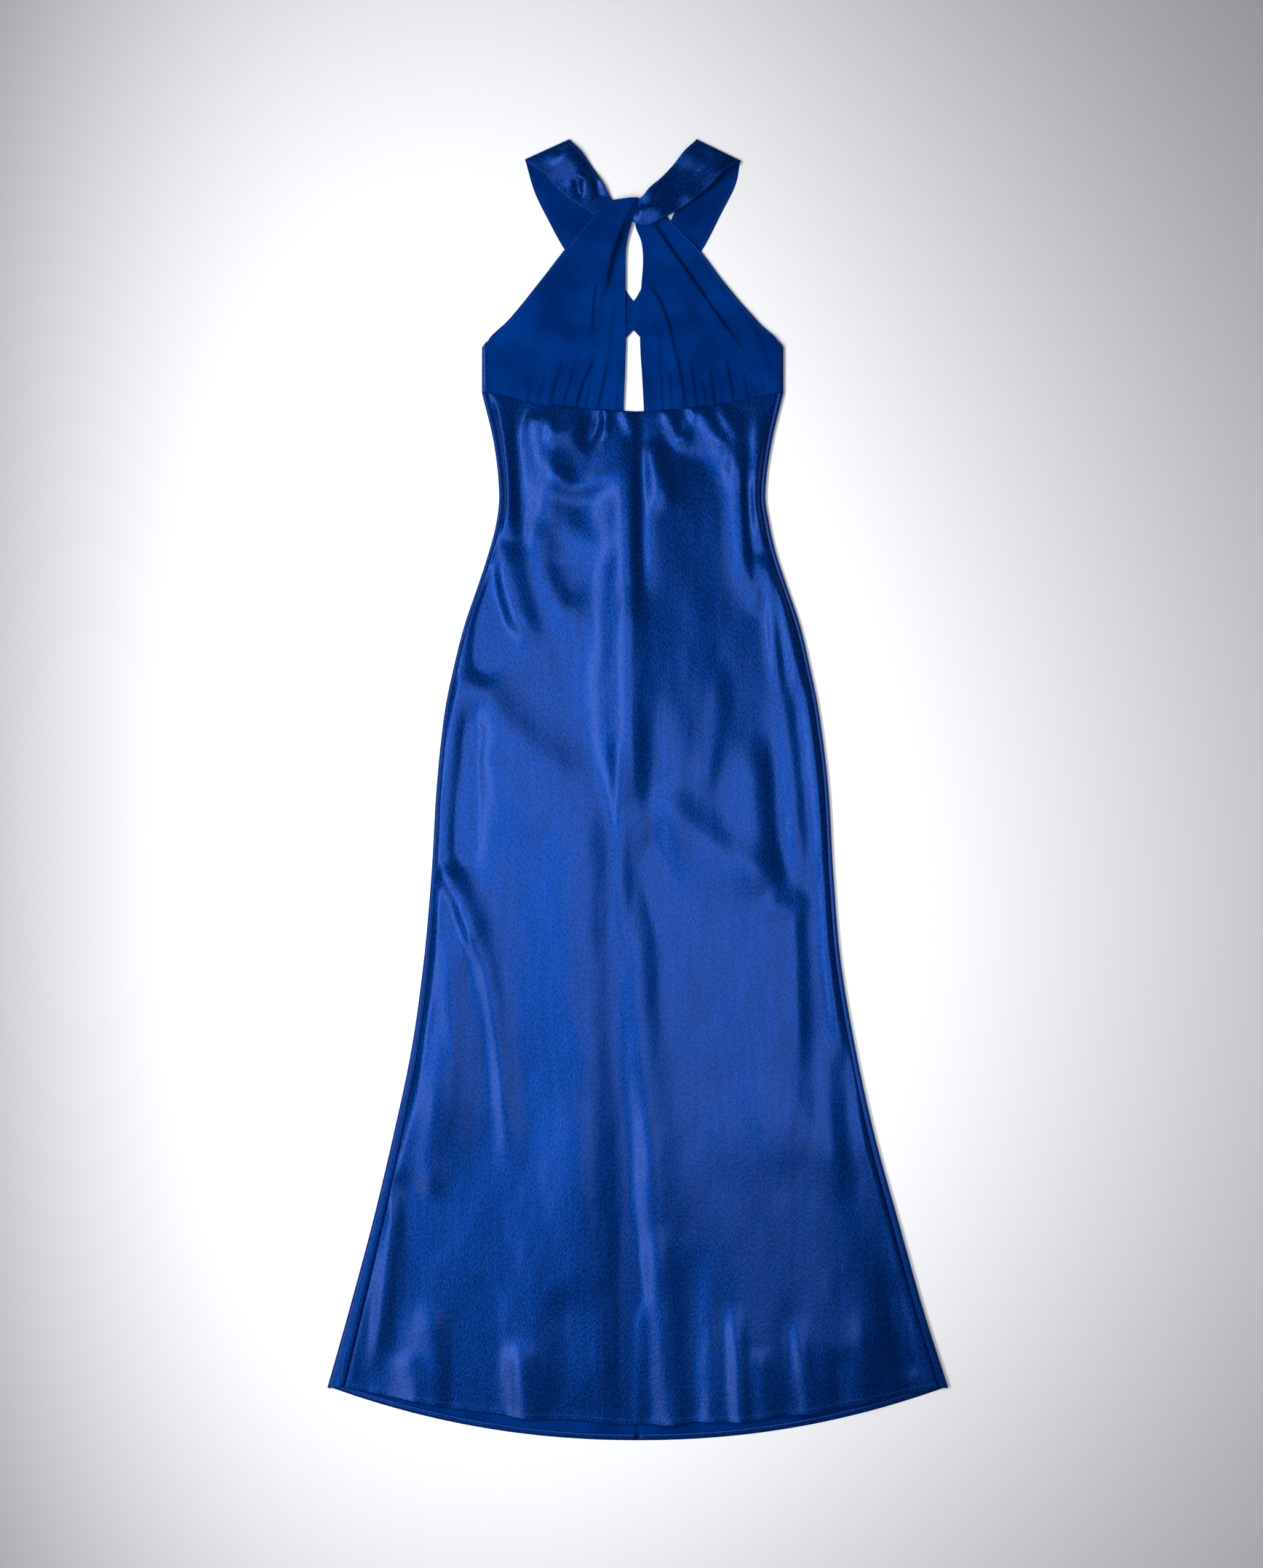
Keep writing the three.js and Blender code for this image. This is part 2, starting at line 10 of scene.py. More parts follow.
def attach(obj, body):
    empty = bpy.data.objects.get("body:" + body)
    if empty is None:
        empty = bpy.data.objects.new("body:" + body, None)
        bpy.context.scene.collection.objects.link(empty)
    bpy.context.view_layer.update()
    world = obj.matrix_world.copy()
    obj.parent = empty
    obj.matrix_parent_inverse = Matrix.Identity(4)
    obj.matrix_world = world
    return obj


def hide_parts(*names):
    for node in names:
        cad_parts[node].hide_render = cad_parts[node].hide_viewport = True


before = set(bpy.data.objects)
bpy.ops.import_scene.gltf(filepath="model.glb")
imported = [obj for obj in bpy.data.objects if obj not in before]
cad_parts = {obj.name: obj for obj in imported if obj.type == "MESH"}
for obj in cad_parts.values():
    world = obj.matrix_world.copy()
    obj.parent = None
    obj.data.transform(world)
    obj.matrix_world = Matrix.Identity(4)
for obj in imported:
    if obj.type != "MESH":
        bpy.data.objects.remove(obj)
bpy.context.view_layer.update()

print("frame loaded:", len(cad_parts), "nodes")

# A halter maxi dress laid flat on its back. Sizes are in millimetres and become metres only
# when a mesh is written. X runs to the right, Y to the neck, Z up from the floor.
mm = 0.001

# Heights at which the middle of the cloth lies, and the wall that is drawn for it
cloth = {
    "wall": 0.8,            # one ply with its finish, drawn a little thick so that edges show
    "floorLevel": 0.5,      # the back lies on the floor
    "secondLevel": 2.1,     # the front lies on the back
    "thirdLevel": 3.6,      # the bodice lies over the crossed straps
    "sideLevel": 5.4,       # top of the soft fold along each side
    "shoulderLevel": 4.4,   # top of the fold over each shoulder
}


def smoothStep(t):
    t = np.clip(t, 0, 1)
    return t * t * (3 - 2 * t)


def bow(across, depth, power):
    # depth half-way along an edge, nothing at its ends; a higher power makes it squarer
    return depth * (1 - np.abs(2 * across - 1) ** power)


def bump(distance, width):
    return np.exp(-(distance / width) ** 2)


def softFloor(height, lowest, blend=0.5):
    # keeps a trough from sinking into the layer below, without a sharp corner
    return 0.5 * (height + lowest + np.sqrt((height - lowest) ** 2 + blend ** 2))


# Skirt outline at each height: the side folds, and how far the back wraps over to the front
skirtOutline = {
    "columns": ["y", "left", "right", "lapLeft", "lapRight"],
    "rows": [
        [459.5, -174, 174, 6.5, 6.5], [400, -160, 160, 5, 5], [342, -154, 153, 4.5, 5],
        [308, -157.5, 157.5, 4.5, 5], [275, -166, 165, 4, 5], [241, -177, 176, 4, 5],
        [191, -194, 193, 4, 5], [140, -207, 205, 4, 4.5], [90, -217, 215, 4, 4.5],
        [6, -226, 225.5, 4.5, 4.5], [-95, -232, 231.5, 5, 5], [-196, -241, 240, 6, 5.5],
        [-297, -255, 257, 7.5, 6], [-397, -276, 279, 9.5, 7], [-498, -300, 307, 11.5, 8],
        [-599, -327, 335.5, 15, 9], [-688, -352, 364, 19, 10],
    ],
    "seamTop": 459.5,
    "hemCorner": -688,
    # depth of each bowed edge in the middle, and the power of its curve
    "underbustBow": [22, 1.8],
    "backTopBow": [30, 2],
    "frontHemBow": [43, 1.8],
    "backHemBow": [61.3, 2.1],
    "centreBack": 6,
    "seamGap": 0.3,
    # the hem hangs a little lower or higher where it ripples: x, half width, drop
    "hemWaves": [[-215, 22, 1], [-136, 15, 1.8], [-70, 22, -1.3], [-14, 12, 1], [36, 11, 1.8],
                 [70, 10, -1.4], [100, 7, -1.2], [124, 11, 1.6], [168, 12, -1], [208, 12, 1.4],
                 [262, 18, -1.2]],
}
outlineRows = np.array(skirtOutline["rows"], float)

# The side of the dress that each sign of x stands for
sides = {-1: "left", 1: "right"}


def outlineAt(column, y):
    # smooth value of one column of the outline at heights y
    heights = outlineRows[:, 0]
    values = outlineRows[:, skirtOutline["columns"].index(column)]
    y = np.asarray(y, float)
    row = np.clip(np.searchsorted(-heights, -y, side="left"), 1, len(heights) - 1)
    above, below = row - 1, row
    before, after = np.maximum(row - 2, 0), np.minimum(row + 1, len(heights) - 1)
    span = heights[above] - heights[below]
    t = np.clip((heights[above] - y) / span, 0, 1)
    slopeIn = (values[below] - values[before]) / (heights[before] - heights[below]) * span
    slopeOut = (values[after] - values[above]) / (heights[above] - heights[after]) * span
    return (values[above] * (2 * t ** 3 - 3 * t ** 2 + 1) + slopeIn * (t ** 3 - 2 * t ** 2 + t)
            + values[below] * (3 * t ** 2 - 2 * t ** 3) + slopeOut * (t ** 3 - t ** 2))


def heightDown(down):
    # height at a share of the way from the underbust seam to the corners of the hem
    return skirtOutline["seamTop"] + (skirtOutline["hemCorner"] - skirtOutline["seamTop"]) * down


def sideSeams(y):
    gap = skirtOutline["seamGap"]
    return (outlineAt("left", y) + outlineAt("lapLeft", y) + gap,
            outlineAt("right", y) - outlineAt("lapRight", y) - gap)


def underbustSeam(across):
    return skirtOutline["seamTop"] - bow(across, *skirtOutline["underbustBow"])


def backTop(across):
    return skirtOutline["seamTop"] - bow(across, *skirtOutline["backTopBow"])


def frontHem(across):
    left, right = outlineRows[-1, 1:3]
    x = left + (right - left) * np.asarray(across, float)
    drop = sum(size * bump(x - place, width) for place, width, size in skirtOutline["hemWaves"])
    return skirtOutline["hemCorner"] - bow(across, *skirtOutline["frontHemBow"]) - drop


def backHem(across):
    return skirtOutline["hemCorner"] - bow(across, *skirtOutline["backHemBow"])


# Folds of the skirt: the crest runs from start through mid to end; west and east are its half
# widths on either side, and height is what it adds (a hollow is below zero)
skirtFolds = [
    # start x and y, mid x and y, end x and y, west, east, height
    # the long fold down the middle, which falls away gently to the right
    [-5, 443, -4, 308, -1, 157, 28.6, 11.8, 4.6], [-5, 443, -3, 191, 12, -95, 33.6, 96.6, 12.2],
    [-6, 241, -5, 132, -1, -53, 37, 21.8, 5.4], [9, 443, 10, 325, 12, 191, 8.4, 9.2, -3.5],
    # broad swells of the skirt, down its whole length
    [-58, 65, -53, -204, -48, -599, 58.8, 26.9, 6.8],
    [10, -78, 16, -330, 22, -599, 25.2, 30.2, 5.9],
    [173, -53, 175, -263, 181, -465, 58.8, 35.3, 4.9],
    [-193, -78, -193, -263, -218, -465, 46.2, 30.2, 4.1],
    [26, -754, 177, -746, 336, -725, 50.4, 126, 10.1],
    [248, -305, 269, -515, 290, -767, 159.6, 28.6, 7.4],
    [-58, -347, -48, -565, -46, -767, 75.6, 30.2, 4.9],
    [-138, 56, -151, -137, -151, -347, 50.4, 75.6, 2.2],
    # rolls down the left side, with the hollow inside them
    [-154, 468, -148, 375, -145, 283, 11.8, 14.3, 6.2],
    [-145, 291, -136, 231, -112, 153, 12.6, 16.8, 6.2],
    [-154, 273, -147, 224, -132, 182, 6.7, 7.6, 2.7],
    [-135, 443, -133, 359, -124, 266, 8.4, 10.1, -3.5],
    [-102, 451, -85, 392, -79, 333, 35.3, 58.8, 6.1],
    [-117, 443, -105, 375, -99, 308, 15.1, 21.8, 3],
    # pockets under the left of the underbust seam
    [-127, 431, -107, 428, -85, 433, 10.1, 7.6, 2.7],
    [-105, 413, -79, 414, -53, 424, 11.8, 9.2, 4.1],
    [-40, 443, -47, 416, -62, 394, 12.6, 10.9, -7.4],
    [-102, 399, -68, 349, -15, 387, 14.3, 11.8, 4.3], [-31, 453, -32, 428, -34, 404, 6.7, 6.7, 3.5],
    [-14, 449, -5, 428, 4, 406, 8.4, 6.7, 3.5],
    # folds that run down from the right of the underbust seam
    [22, 409, 30, 367, 47, 315, 16.8, 13.4, 5.9], [37, 449, 47, 420, 69, 399, 8.4, 7.6, 3.9],
    [52, 423, 54, 416, 57, 407, 5.9, 5.9, -3.1], [61, 453, 68, 437, 74, 426, 4.2, 4.2, 2.3],
    [72, 454, 91, 416, 115, 391, 10.1, 10.1, 5.2], [96, 456, 111, 423, 126, 404, 9.2, 8.4, 3.6],
    [26, 409, 55, 386, 101, 381, 16.8, 15.1, -3.4], [118, 443, 120, 401, 123, 342, 18.5, 13.4, 3.9],
    # the right waist
    [121, 409, 125, 325, 138, 199, 16.8, 8.4, 6], [131, 375, 133, 308, 136, 241, 5.9, 5.9, -2.3],
    [146, 459, 145, 359, 149, 266, 10.9, 9.2, 5.5], [148, 275, 146, 241, 140, 201, 8.4, 10.9, 3.4],
    [155, 279, 161, 199, 170, 94, 7.6, 7.6, 3.9], [167, 270, 178, 191, 200, 94, 8.4, 7.6, 4.7],
    # the left waist
    [-110, 329, -95, 249, -53, 153, 23.5, 25.2, 4.8],
    [-117, 342, -74, 307, -32, 256, 20.2, 20.2, 3.8],
    [-90, 276, -82, 245, -60, 214, 11.8, 16.8, -1.8],
    # the left hip
    [-203, 144, -147, 73, -40, -18, 45.4, 28.6, 4.5],
    [-163, 266, -174, 182, -169, 115, 15.1, 16.8, -4.7],
    [-184, 132, -191, 6, -198, -129, 14.3, 16.8, -5.9],
    [-225, -82, -198, -129, -174, -208, 10.1, 18.5, 6.2],
    [-180, -171, -159, -263, -141, -465, 10.1, 15.1, 3.4],
    [-208, -137, -210, -263, -218, -431, 18.5, 13.4, 3.7],
    [-189, 65, -151, 6, -92, -53, 33.6, 21.8, 2.2],
    # down the middle, below the hip
    [-20, 73, -15, -28, -10, -213, 8.4, 10.1, 2.1], [14, 115, 26, -53, 34, -431, 16.8, 20.2, -3.8],
    [-6, -297, -1, -532, 2, -851, 21.8, 18.5, -4.2], [7, -574, 6, -658, 5, -771, 10.1, 10.1, 3.5],
    # the right hip
    [17, 2, 76, -53, 197, -130, 43.7, 25.2, 5.1], [138, 73, 140, -36, 148, -133, 21.8, 23.5, 5.1],
    [158, 73, 167, -36, 182, -130, 10.9, 12.6, -2.4],
    [147, -125, 177, -134, 207, -122, 14.3, 13.4, 2],
    [167, 140, 184, 23, 196, -133, 13.4, 10.9, 3.6], [197, 132, 212, 23, 222, -124, 10.9, 8.4, 3.9],
    [224, -61, 228, -187, 244, -330, 9.2, 6.7, 3],
    [189, -129, 189, -204, 194, -347, 8.4, 10.1, 2.1],
    [227, -263, 229, -364, 232, -481, 15.1, 18.5, 3.3],
    [105, 153, 95, 73, 81, -19, 13.4, 11.8, 1.8],
    # the lower skirt, right
    [236, -263, 268, -448, 311, -683, 25.2, 18.5, -4.6],
    [299, -540, 311, -624, 325, -691, 23.5, 15.1, -2.7],
    [252, -263, 289, -448, 349, -691, 9.2, 9.2, 3.8],
    [288, -686, 315, -680, 340, -667, 9.2, 9.2, 0.9],
    # the lower skirt, left
    [-226, -263, -233, -397, -231, -481, 21.8, 15.1, 3.9],
    [-267, -431, -255, -488, -226, -549, 15.1, 23.5, -2.8],
    [-268, -439, -282, -549, -302, -691, 9.2, 11.8, 3.6],
    # ripples in the hem
    [-260, -641, -255, -683, -250, -746, 18.5, 13.4, 2.8],
    [-233, -582, -230, -675, -226, -843, 21.8, 15.1, 3.5],
    [-193, -591, -196, -675, -198, -817, 13.4, 16.8, -3.2],
    [-172, -553, -172, -666, -169, -843, 18.5, 18.5, -3],
    [-130, -628, -125, -704, -117, -859, 15, 16.8, 4.6],
    [-85, -565, -82, -666, -82, -826, 18.5, 16.8, -2.8],
    [31, -498, 38, -633, 61, -868, 20.2, 16.8, 4.2], [66, -515, 72, -649, 73, -843, 16.8, 15.1, -3],
    [102, -555, 106, -675, 110, -834, 11.8, 10.9, -2],
    [118, -588, 124, -690, 131, -859, 13, 11, 3.5],
    [144, -640, 151, -702, 165, -851, 9.2, 10.1, 2.6],
    [173, -570, 180, -684, 185, -834, 12, 12, -1.7],
    [188, -602, 202, -694, 219, -834, 11, 10.5, 2.7],
    [-58, -549, -53, -666, -53, -843, 20.2, 18.5, -2.5],
    [235, -640, 239, -700, 246, -809, 10.9, 10.9, -2.3],
    [257, -591, 266, -683, 278, -792, 12.6, 12.6, 2.2],
]

# The same for the crepe panels of the bodice
bodiceFolds = [
    # start x and y, mid x and y, end x and y, west, east, height
    # the rolled fold that runs out of the twist, and the creases beside it
    [17, 711, -16, 643, -48, 535, 16.8, 5.9, 6.5], [-6, 668, -26, 619, -43, 577, 5.9, 2.5, 3],
    [-40, 601, -47, 566, -49, 518, 7.6, 2.7, 3.4], [-10, 643, -24, 617, -33, 567, 5, 2.5, 2.6],
    [-58, 640, -89, 592, -129, 493, 18.5, 10.1, 3.2],
    [-107, 575, -80, 557, -48, 540, 18.5, 20.2, -3.4], [-23, 577, -28, 527, -32, 459, 6.7, 4.2, 2],
    # gathers on the left
    [-43, 503, -57, 476, -71, 438, 6.7, 2.5, 4], [-32, 500, -37, 466, -46, 431, 5.9, 2.5, 3.6],
    [-82, 500, -90, 475, -99, 436, 5.9, 2.7, 3.2], [-100, 483, -107, 465, -113, 441, 5, 2.5, 2],
    [-68, 493, -76, 466, -84, 438, 4.2, 2.2, 2.8], [-16, 485, -20, 459, -22, 429, 4.2, 2.5, 1.8],
    [-119, 470, -123, 457, -126, 441, 4.2, 2.5, 1.3], [-137, 489, -142, 470, -145, 449, 5, 2.9, 1],
    [-90, 480, -96, 461, -102, 438, 3.4, 2, 1.8], [-57, 475, -63, 455, -70, 433, 3.4, 2, 2.2],
    [-152, 480, -156, 466, -159, 452, 5, 3.4, 0.7], [-50, 480, -54, 455, -59, 431, 3.4, 2, 2],
    [-26, 463, -29, 449, -32, 429, 2.9, 2, 1.2],
    # folds on the right
    [12, 669, 63, 594, 143, 483, 11.8, 3.5, 5], [10, 591, 36, 547, 49, 483, 8.4, 3.4, 4],
    [23, 560, 28, 518, 29, 468, 5.9, 5, 1.8], [89, 590, 113, 560, 143, 525, 11.8, 10.1, 2.2],
    [126, 556, 147, 510, 158, 468, 6.7, 5, 2], [68, 575, 100, 555, 126, 538, 16.8, 16.8, -3.2],
    [30, 636, 51, 577, 76, 518, 13.4, 8.4, 1.8],
    # gathers on the right
    [47, 510, 54, 476, 60, 431, 6.7, 2.7, 3.4], [64, 497, 69, 468, 74, 434, 4.2, 2.4, 2.4],
    [105, 501, 110, 475, 116, 439, 5.9, 2.5, 3.2], [39, 489, 42, 464, 43, 430, 4.2, 2.4, 2.2],
    [86, 493, 90, 466, 94, 436, 5, 2.5, 2.6], [77, 480, 81, 458, 84, 433, 3.4, 2, 1.8],
    [125, 486, 128, 468, 132, 445, 5, 2.5, 1.5], [31, 485, 32, 459, 33, 431, 3.4, 2.4, 1.8],
    [143, 483, 147, 470, 150, 452, 5, 3.4, 0.9], [98, 468, 101, 454, 105, 438, 3.4, 2, 1.2],
    [137, 473, 139, 463, 142, 449, 3.4, 2.2, 0.8],
]

# Folds of the satin straps in front
strapFolds = [
    # start x and y, mid x and y, end x and y, west, east, height
    # left strap
    [-87, 747, -65, 720, -38, 686, 18.5, 10.1, 5.5], [-62, 710, -63, 696, -59, 680, 5, 5, -3.2],
    [-45, 706, -41, 695, -37, 681, 5, 5, -3.2], [-62, 709, -54, 712, -46, 707, 4.2, 4.2, -2],
    [-121, 725, -105, 733, -79, 743, 5, 6.7, 1.2],
    # right strap
    [120, 727, 86, 698, 51, 671, 12.6, 6.7, 5], [100, 747, 69, 713, 36, 683, 10.1, 8.4, -2.4],
    [-3, 668, 17, 669, 49, 678, 10.1, 5, 3.6],
]

# How each fold is drawn from its row
foldShape = {
    "crestSteps": 12,    # straight lines that stand for one crest
    "fadeShare": 0.28,   # share of a crest over which each end dies out
    "reach": 2.6,        # widths from the crest at which a fold is taken to be flat
}


def foldHeight(folds, x, y):
    height = np.zeros_like(x)
    steps = foldShape["crestSteps"]
    t = np.linspace(0, 1, steps + 1)[:, None]
    for fold in folds:
        start, mid, end = (np.array(fold[place:place + 2], float) for place in (0, 2, 4))
        west, east, size = fold[6:]
        handle = 2 * mid - (start + end) / 2
        crest = (1 - t) ** 2 * start + 2 * t * (1 - t) * handle + t ** 2 * end
        reach = foldShape["reach"] * max(west, east)
        low, high = crest.min(axis=0) - reach, crest.max(axis=0) + reach
        near = np.flatnonzero((x > low[0]) & (x < high[0]) & (y > low[1]) & (y < high[1]))
        if len(near) == 0:
            continue
        px, py = x[near], y[near]
        best = np.full(len(near), np.inf)
        along = np.zeros(len(near))
        side = np.zeros(len(near))
        for step in range(steps):
            dx, dy = crest[step + 1] - crest[step]
            ox, oy = px - crest[step][0], py - crest[step][1]
            s = np.clip((ox * dx + oy * dy) / (dx * dx + dy * dy), 0, 1)
            ox, oy = ox - s * dx, oy - s * dy
            distance = np.hypot(ox, oy)
            closer = distance < best
            best[closer] = distance[closer]
            along[closer] = (step + s[closer]) / steps
            side[closer] = (dx * oy - dy * ox)[closer]
        width = np.where(side < 0, west, east)
        fade = (smoothStep(along / foldShape["fadeShare"])
                * smoothStep((1 - along) / foldShape["fadeShare"]))
        height[near] += size * bump(best, width) * fade
    return height


# Slow unevenness of cloth that has been smoothed out by hand: long low waves, mostly down
# the skirt, from a fixed seed
unevenness = {
    "seed": 7,
    "waves": 30,
    "shortest": 15,
    "longest": 90,
    "lean": 0.35,    # spread of the waves' turn from straight across, in radians
    "height": 0.08,
    "stretch": 8,    # how many times longer a wave is down the skirt than across it
}
waveDraw = random.Random(unevenness["seed"])
waveList = []
for wave in range(unevenness["waves"]):
    length = waveDraw.uniform(unevenness["shortest"], unevenness["longest"])
    lean = waveDraw.gauss(0, unevenness["lean"])
    waveNumber = 2 * math.pi / length
    waveList.append((
        waveNumber * math.cos(lean),
        waveNumber * math.sin(lean)
        + waveDraw.uniform(-1, 1) * 2 * math.pi / (length * unevenness["stretch"]),
        waveDraw.uniform(0, 2 * math.pi),
        unevenness["height"] * length / unevenness["longest"],
    ))


def slowWaves(x, y):
    total = np.zeros_like(x)
    for kx, ky, phase, size in waveList:
        total += size * np.sin(kx * x + ky * y + phase)
    return total


# How the front lies on the back, with its seams and its hem
frontShape = {
    "restRise": [330, 90],   # the bodice end rests one layer higher than the skirt
    "sideInset": 8,
    "sideReach": 22,         # how far in from a side fold the front comes down to the back
    "foldFade": 7,           # folds die out over this on the side seams
    "clearance": 1.1,        # a trough stays this far above the middle of the back
    "seamDip": [0.9, 2.2],   # depth and width of the groove along a seam
    "hemStep": 0.35,         # the hem is thicker by its turned edge
    "hemWidth": 7,
    "hemEdge": 1.5,          # over which the step rises
    "pucker": 0.25,          # the hem draws in a little between stitches
    "puckerReach": 9,
    "puckerLength": 3.7,
    "puckerDrift": [1.5, 23],    # so that the puckers aren't evenly spaced
}


def frontLevel(x, y):
    sideY = np.minimum(y, skirtOutline["seamTop"])
    left, right = outlineAt("left", sideY), outlineAt("right", sideY)
    inset = np.maximum(np.minimum(x - left, right - x) - frontShape["sideInset"], 0)
    restStart, restSpan = frontShape["restRise"]
    resting = (cloth["secondLevel"] + (cloth["thirdLevel"] - cloth["secondLevel"])
               * smoothStep((y - restStart) / restSpan))
    return resting + (cloth["sideLevel"] - resting) * bump(inset, frontShape["sideReach"])


def frontHeight(x, y, folds):
    sideY = np.minimum(y, skirtOutline["seamTop"])
    left, right = sideSeams(sideY)
    fade = smoothStep(np.minimum(x - left, right - x) / frontShape["foldFade"])
    raised = foldHeight(folds, x, y) + slowWaves(x, y)
    return softFloor(frontLevel(x, y) + raised * fade,
                     cloth["floorLevel"] + frontShape["clearance"])


def seamDip(distance):
    depth, width = frontShape["seamDip"]
    return -depth * bump(distance, width)


# Colours are sRGB hex values
def toLinear(hexColor):
    parts = [int(hexColor[place:place + 2], 16) / 255 for place in (1, 3, 5)]
    return [part / 12.92 if part <= 0.04045 else ((part + 0.055) / 1.055) ** 2.4
            for part in parts] + [1.0]


def addNode(tree, kind, settings=None, inputs=None):
    node = tree.nodes.new(kind)
    for name, value in (settings or {}).items():
        setattr(node, name, value)
    for name, value in (inputs or {}).items():
        if isinstance(value, bpy.types.NodeSocket):
            tree.links.new(value, node.inputs[name])
        else:
            node.inputs[name].default_value = value
    return node


def newMaterial(name):
    material = bpy.data.materials.new(name)
    material.use_nodes = True
    tree = material.node_tree
    tree.nodes.clear()
    return material, tree


def addNoise(tree, place, scale, layers, dimensions="2D"):
    # layers is [number of finer layers of noise, weight of each layer against the one before]
    detail, roughness = layers
    return addNode(tree, "ShaderNodeTexNoise", {"noise_dimensions": dimensions}, {
        "Vector": place, "Scale": scale, "Detail": detail, "Roughness": roughness,
    }).outputs["Fac"]


def addMix(tree, share, first, second):
    # share is what the second value counts for
    return addNode(tree, "ShaderNodeMix", {"data_type": "FLOAT"}, {
        "Factor": share, 2: first, 3: second}).outputs[0]


def addRamp(tree, tone, finish):
    # colour from deep to light as the tone passes through the finish's range
    ramp = addNode(tree, "ShaderNodeValToRGB", {}, {"Fac": tone})
    for stop, place, shade in zip(
            ramp.color_ramp.elements, finish["toneRange"], ("deep", "light")):
        stop.position = place
        stop.color = toLinear(finish[shade])
    return ramp.outputs["Color"]


def addBump(tree, height, relief, normal=None):
    # relief is [strength, depth in mm]
    strength, depth = relief
    inputs = {"Strength": strength, "Distance": depth * mm, "Height": height}
    if normal is not None:
        inputs["Normal"] = normal
    return addNode(tree, "ShaderNodeBump", {}, inputs).outputs["Normal"]


def addSurface(tree, inputs):
    surface = addNode(tree, "ShaderNodeBsdfPrincipled", {}, inputs)
    addNode(tree, "ShaderNodeOutputMaterial", {}, {"Surface": surface.outputs["BSDF"]})


# Satin face of polyester satin-backed crepe: long floats of smooth filament lie side by side,
# so the dyed threads themselves throw a broad blue sheen that is duller across the floats.
# Real threads are 0.1 mm apart, too fine to show, so the grain is drawn 2 mm coarse.
satinFinish = {
    "deep": "#001A48",
    "light": "#002E74",
    "toneRange": [0.36, 0.64],
    "sheen": "#0A74FF",      # the floats' reflection is tinted by the dye
    "metallic": 0.4,         # the share of the gloss that takes the dye's full colour
    "ior": 1.5,
    "specular": 0.36,
    "coat": 0.085,           # finish on the yarn: a weak white gloss on top
    "coatRoughness": 0.26,
    "roughness": 0.31,
    "roughnessSpread": 0.06,
    "roughnessRange": [0.3, 0.7],    # of the grain, over which the roughness changes
    "anisotropic": 0.2,
    "grain": [2, 3.6],       # width and length of one speckle of the twill, in mm
    "grainTurn": 38,         # the twill runs at this angle, in degrees
    "grainLayers": [2, 0.6],
    "grainRelief": [0.8, 0.5],       # strength, and depth in mm
    "streak": [7, 90],       # width and length of the faint streaks down the cloth, in mm
    "streakLayers": [3, 0.55],
    "streakShare": 0.2,      # of the colour's unevenness; the rest is the grain
    "streakRelief": [0.2, 0.6],
}


def makeSatin():
    material, tree = newMaterial("satinFace")
    uv = addNode(tree, "ShaderNodeUVMap", {"uv_map": "cloth"})
    grainWide, grainLong = satinFinish["grain"]
    grainMap = addNode(tree, "ShaderNodeMapping", {}, {
        "Vector": uv.outputs["UV"],
        "Rotation": (0, 0, math.radians(satinFinish["grainTurn"])),
        "Scale": (1 / (grainWide * mm), 1 / (grainLong * mm), 1),
    })
    grain = addNoise(tree, grainMap.outputs["Vector"], 1, satinFinish["grainLayers"])
    streakWide, streakLong = satinFinish["streak"]
    streakMap = addNode(tree, "ShaderNodeMapping", {}, {
        "Vector": uv.outputs["UV"],
        "Scale": (1 / (streakWide * mm), 1 / (streakLong * mm), 1),
    })
    streak = addNoise(tree, streakMap.outputs["Vector"], 1, satinFinish["streakLayers"])
    tone = addMix(tree, satinFinish["streakShare"], grain, streak)
    roughFrom, roughTo = satinFinish["roughnessRange"]
    rough = addNode(tree, "ShaderNodeMapRange", {}, {
        "Value": grain, "From Min": roughFrom, "From Max": roughTo,
        "To Min": satinFinish["roughness"] - satinFinish["roughnessSpread"],
        "To Max": satinFinish["roughness"] + satinFinish["roughnessSpread"]})
    grainNormal = addBump(tree, grain, satinFinish["grainRelief"])
    tangent = addNode(tree, "ShaderNodeTangent", {"direction_type": "UV_MAP", "uv_map": "cloth"})
    addSurface(tree, {
        "Base Color": addRamp(tree, tone, satinFinish),
        "Metallic": satinFinish["metallic"],
        "Roughness": rough.outputs["Result"],
        "IOR": satinFinish["ior"],
        "Specular IOR Level": satinFinish["specular"],
        "Specular Tint": toLinear(satinFinish["sheen"]),
        "Coat Weight": satinFinish["coat"],
        "Coat Roughness": satinFinish["coatRoughness"],
        "Anisotropic": satinFinish["anisotropic"],
        "Tangent": tangent.outputs["Tangent"],
        "Normal": addBump(tree, streak, satinFinish["streakRelief"], grainNormal),
    })
    return material


# Crepe face of the same cloth: hard-twisted threads crinkle it, so it scatters light evenly
# and looks matte and a little deeper. The pebble is 0.6 mm in life and is drawn 1.8 mm.
crepeFinish = {
    "deep": "#001E55",
    "light": "#002D72",
    "toneRange": [0.38, 0.62],
    "roughness": 0.8,
    "ior": 1.5,
    "specular": 0.1,
    "pebble": 1.8,
    "pebbleLayers": [3, 0.65],
    "pebbleRelief": [0.4, 0.4],
    "toneAndShadePatch": 55,          # size of the lighter and darker patches, in mm: partly the crepe's own uneven tone, partly painted shade of broad hollows
    "toneAndShadePatchLayers": [2, 0.5],
    "toneAndShadePatchShare": 0.5,    # share of the colour's unevenness that is patches of uneven tone and painted shade; the rest is the pebble
}


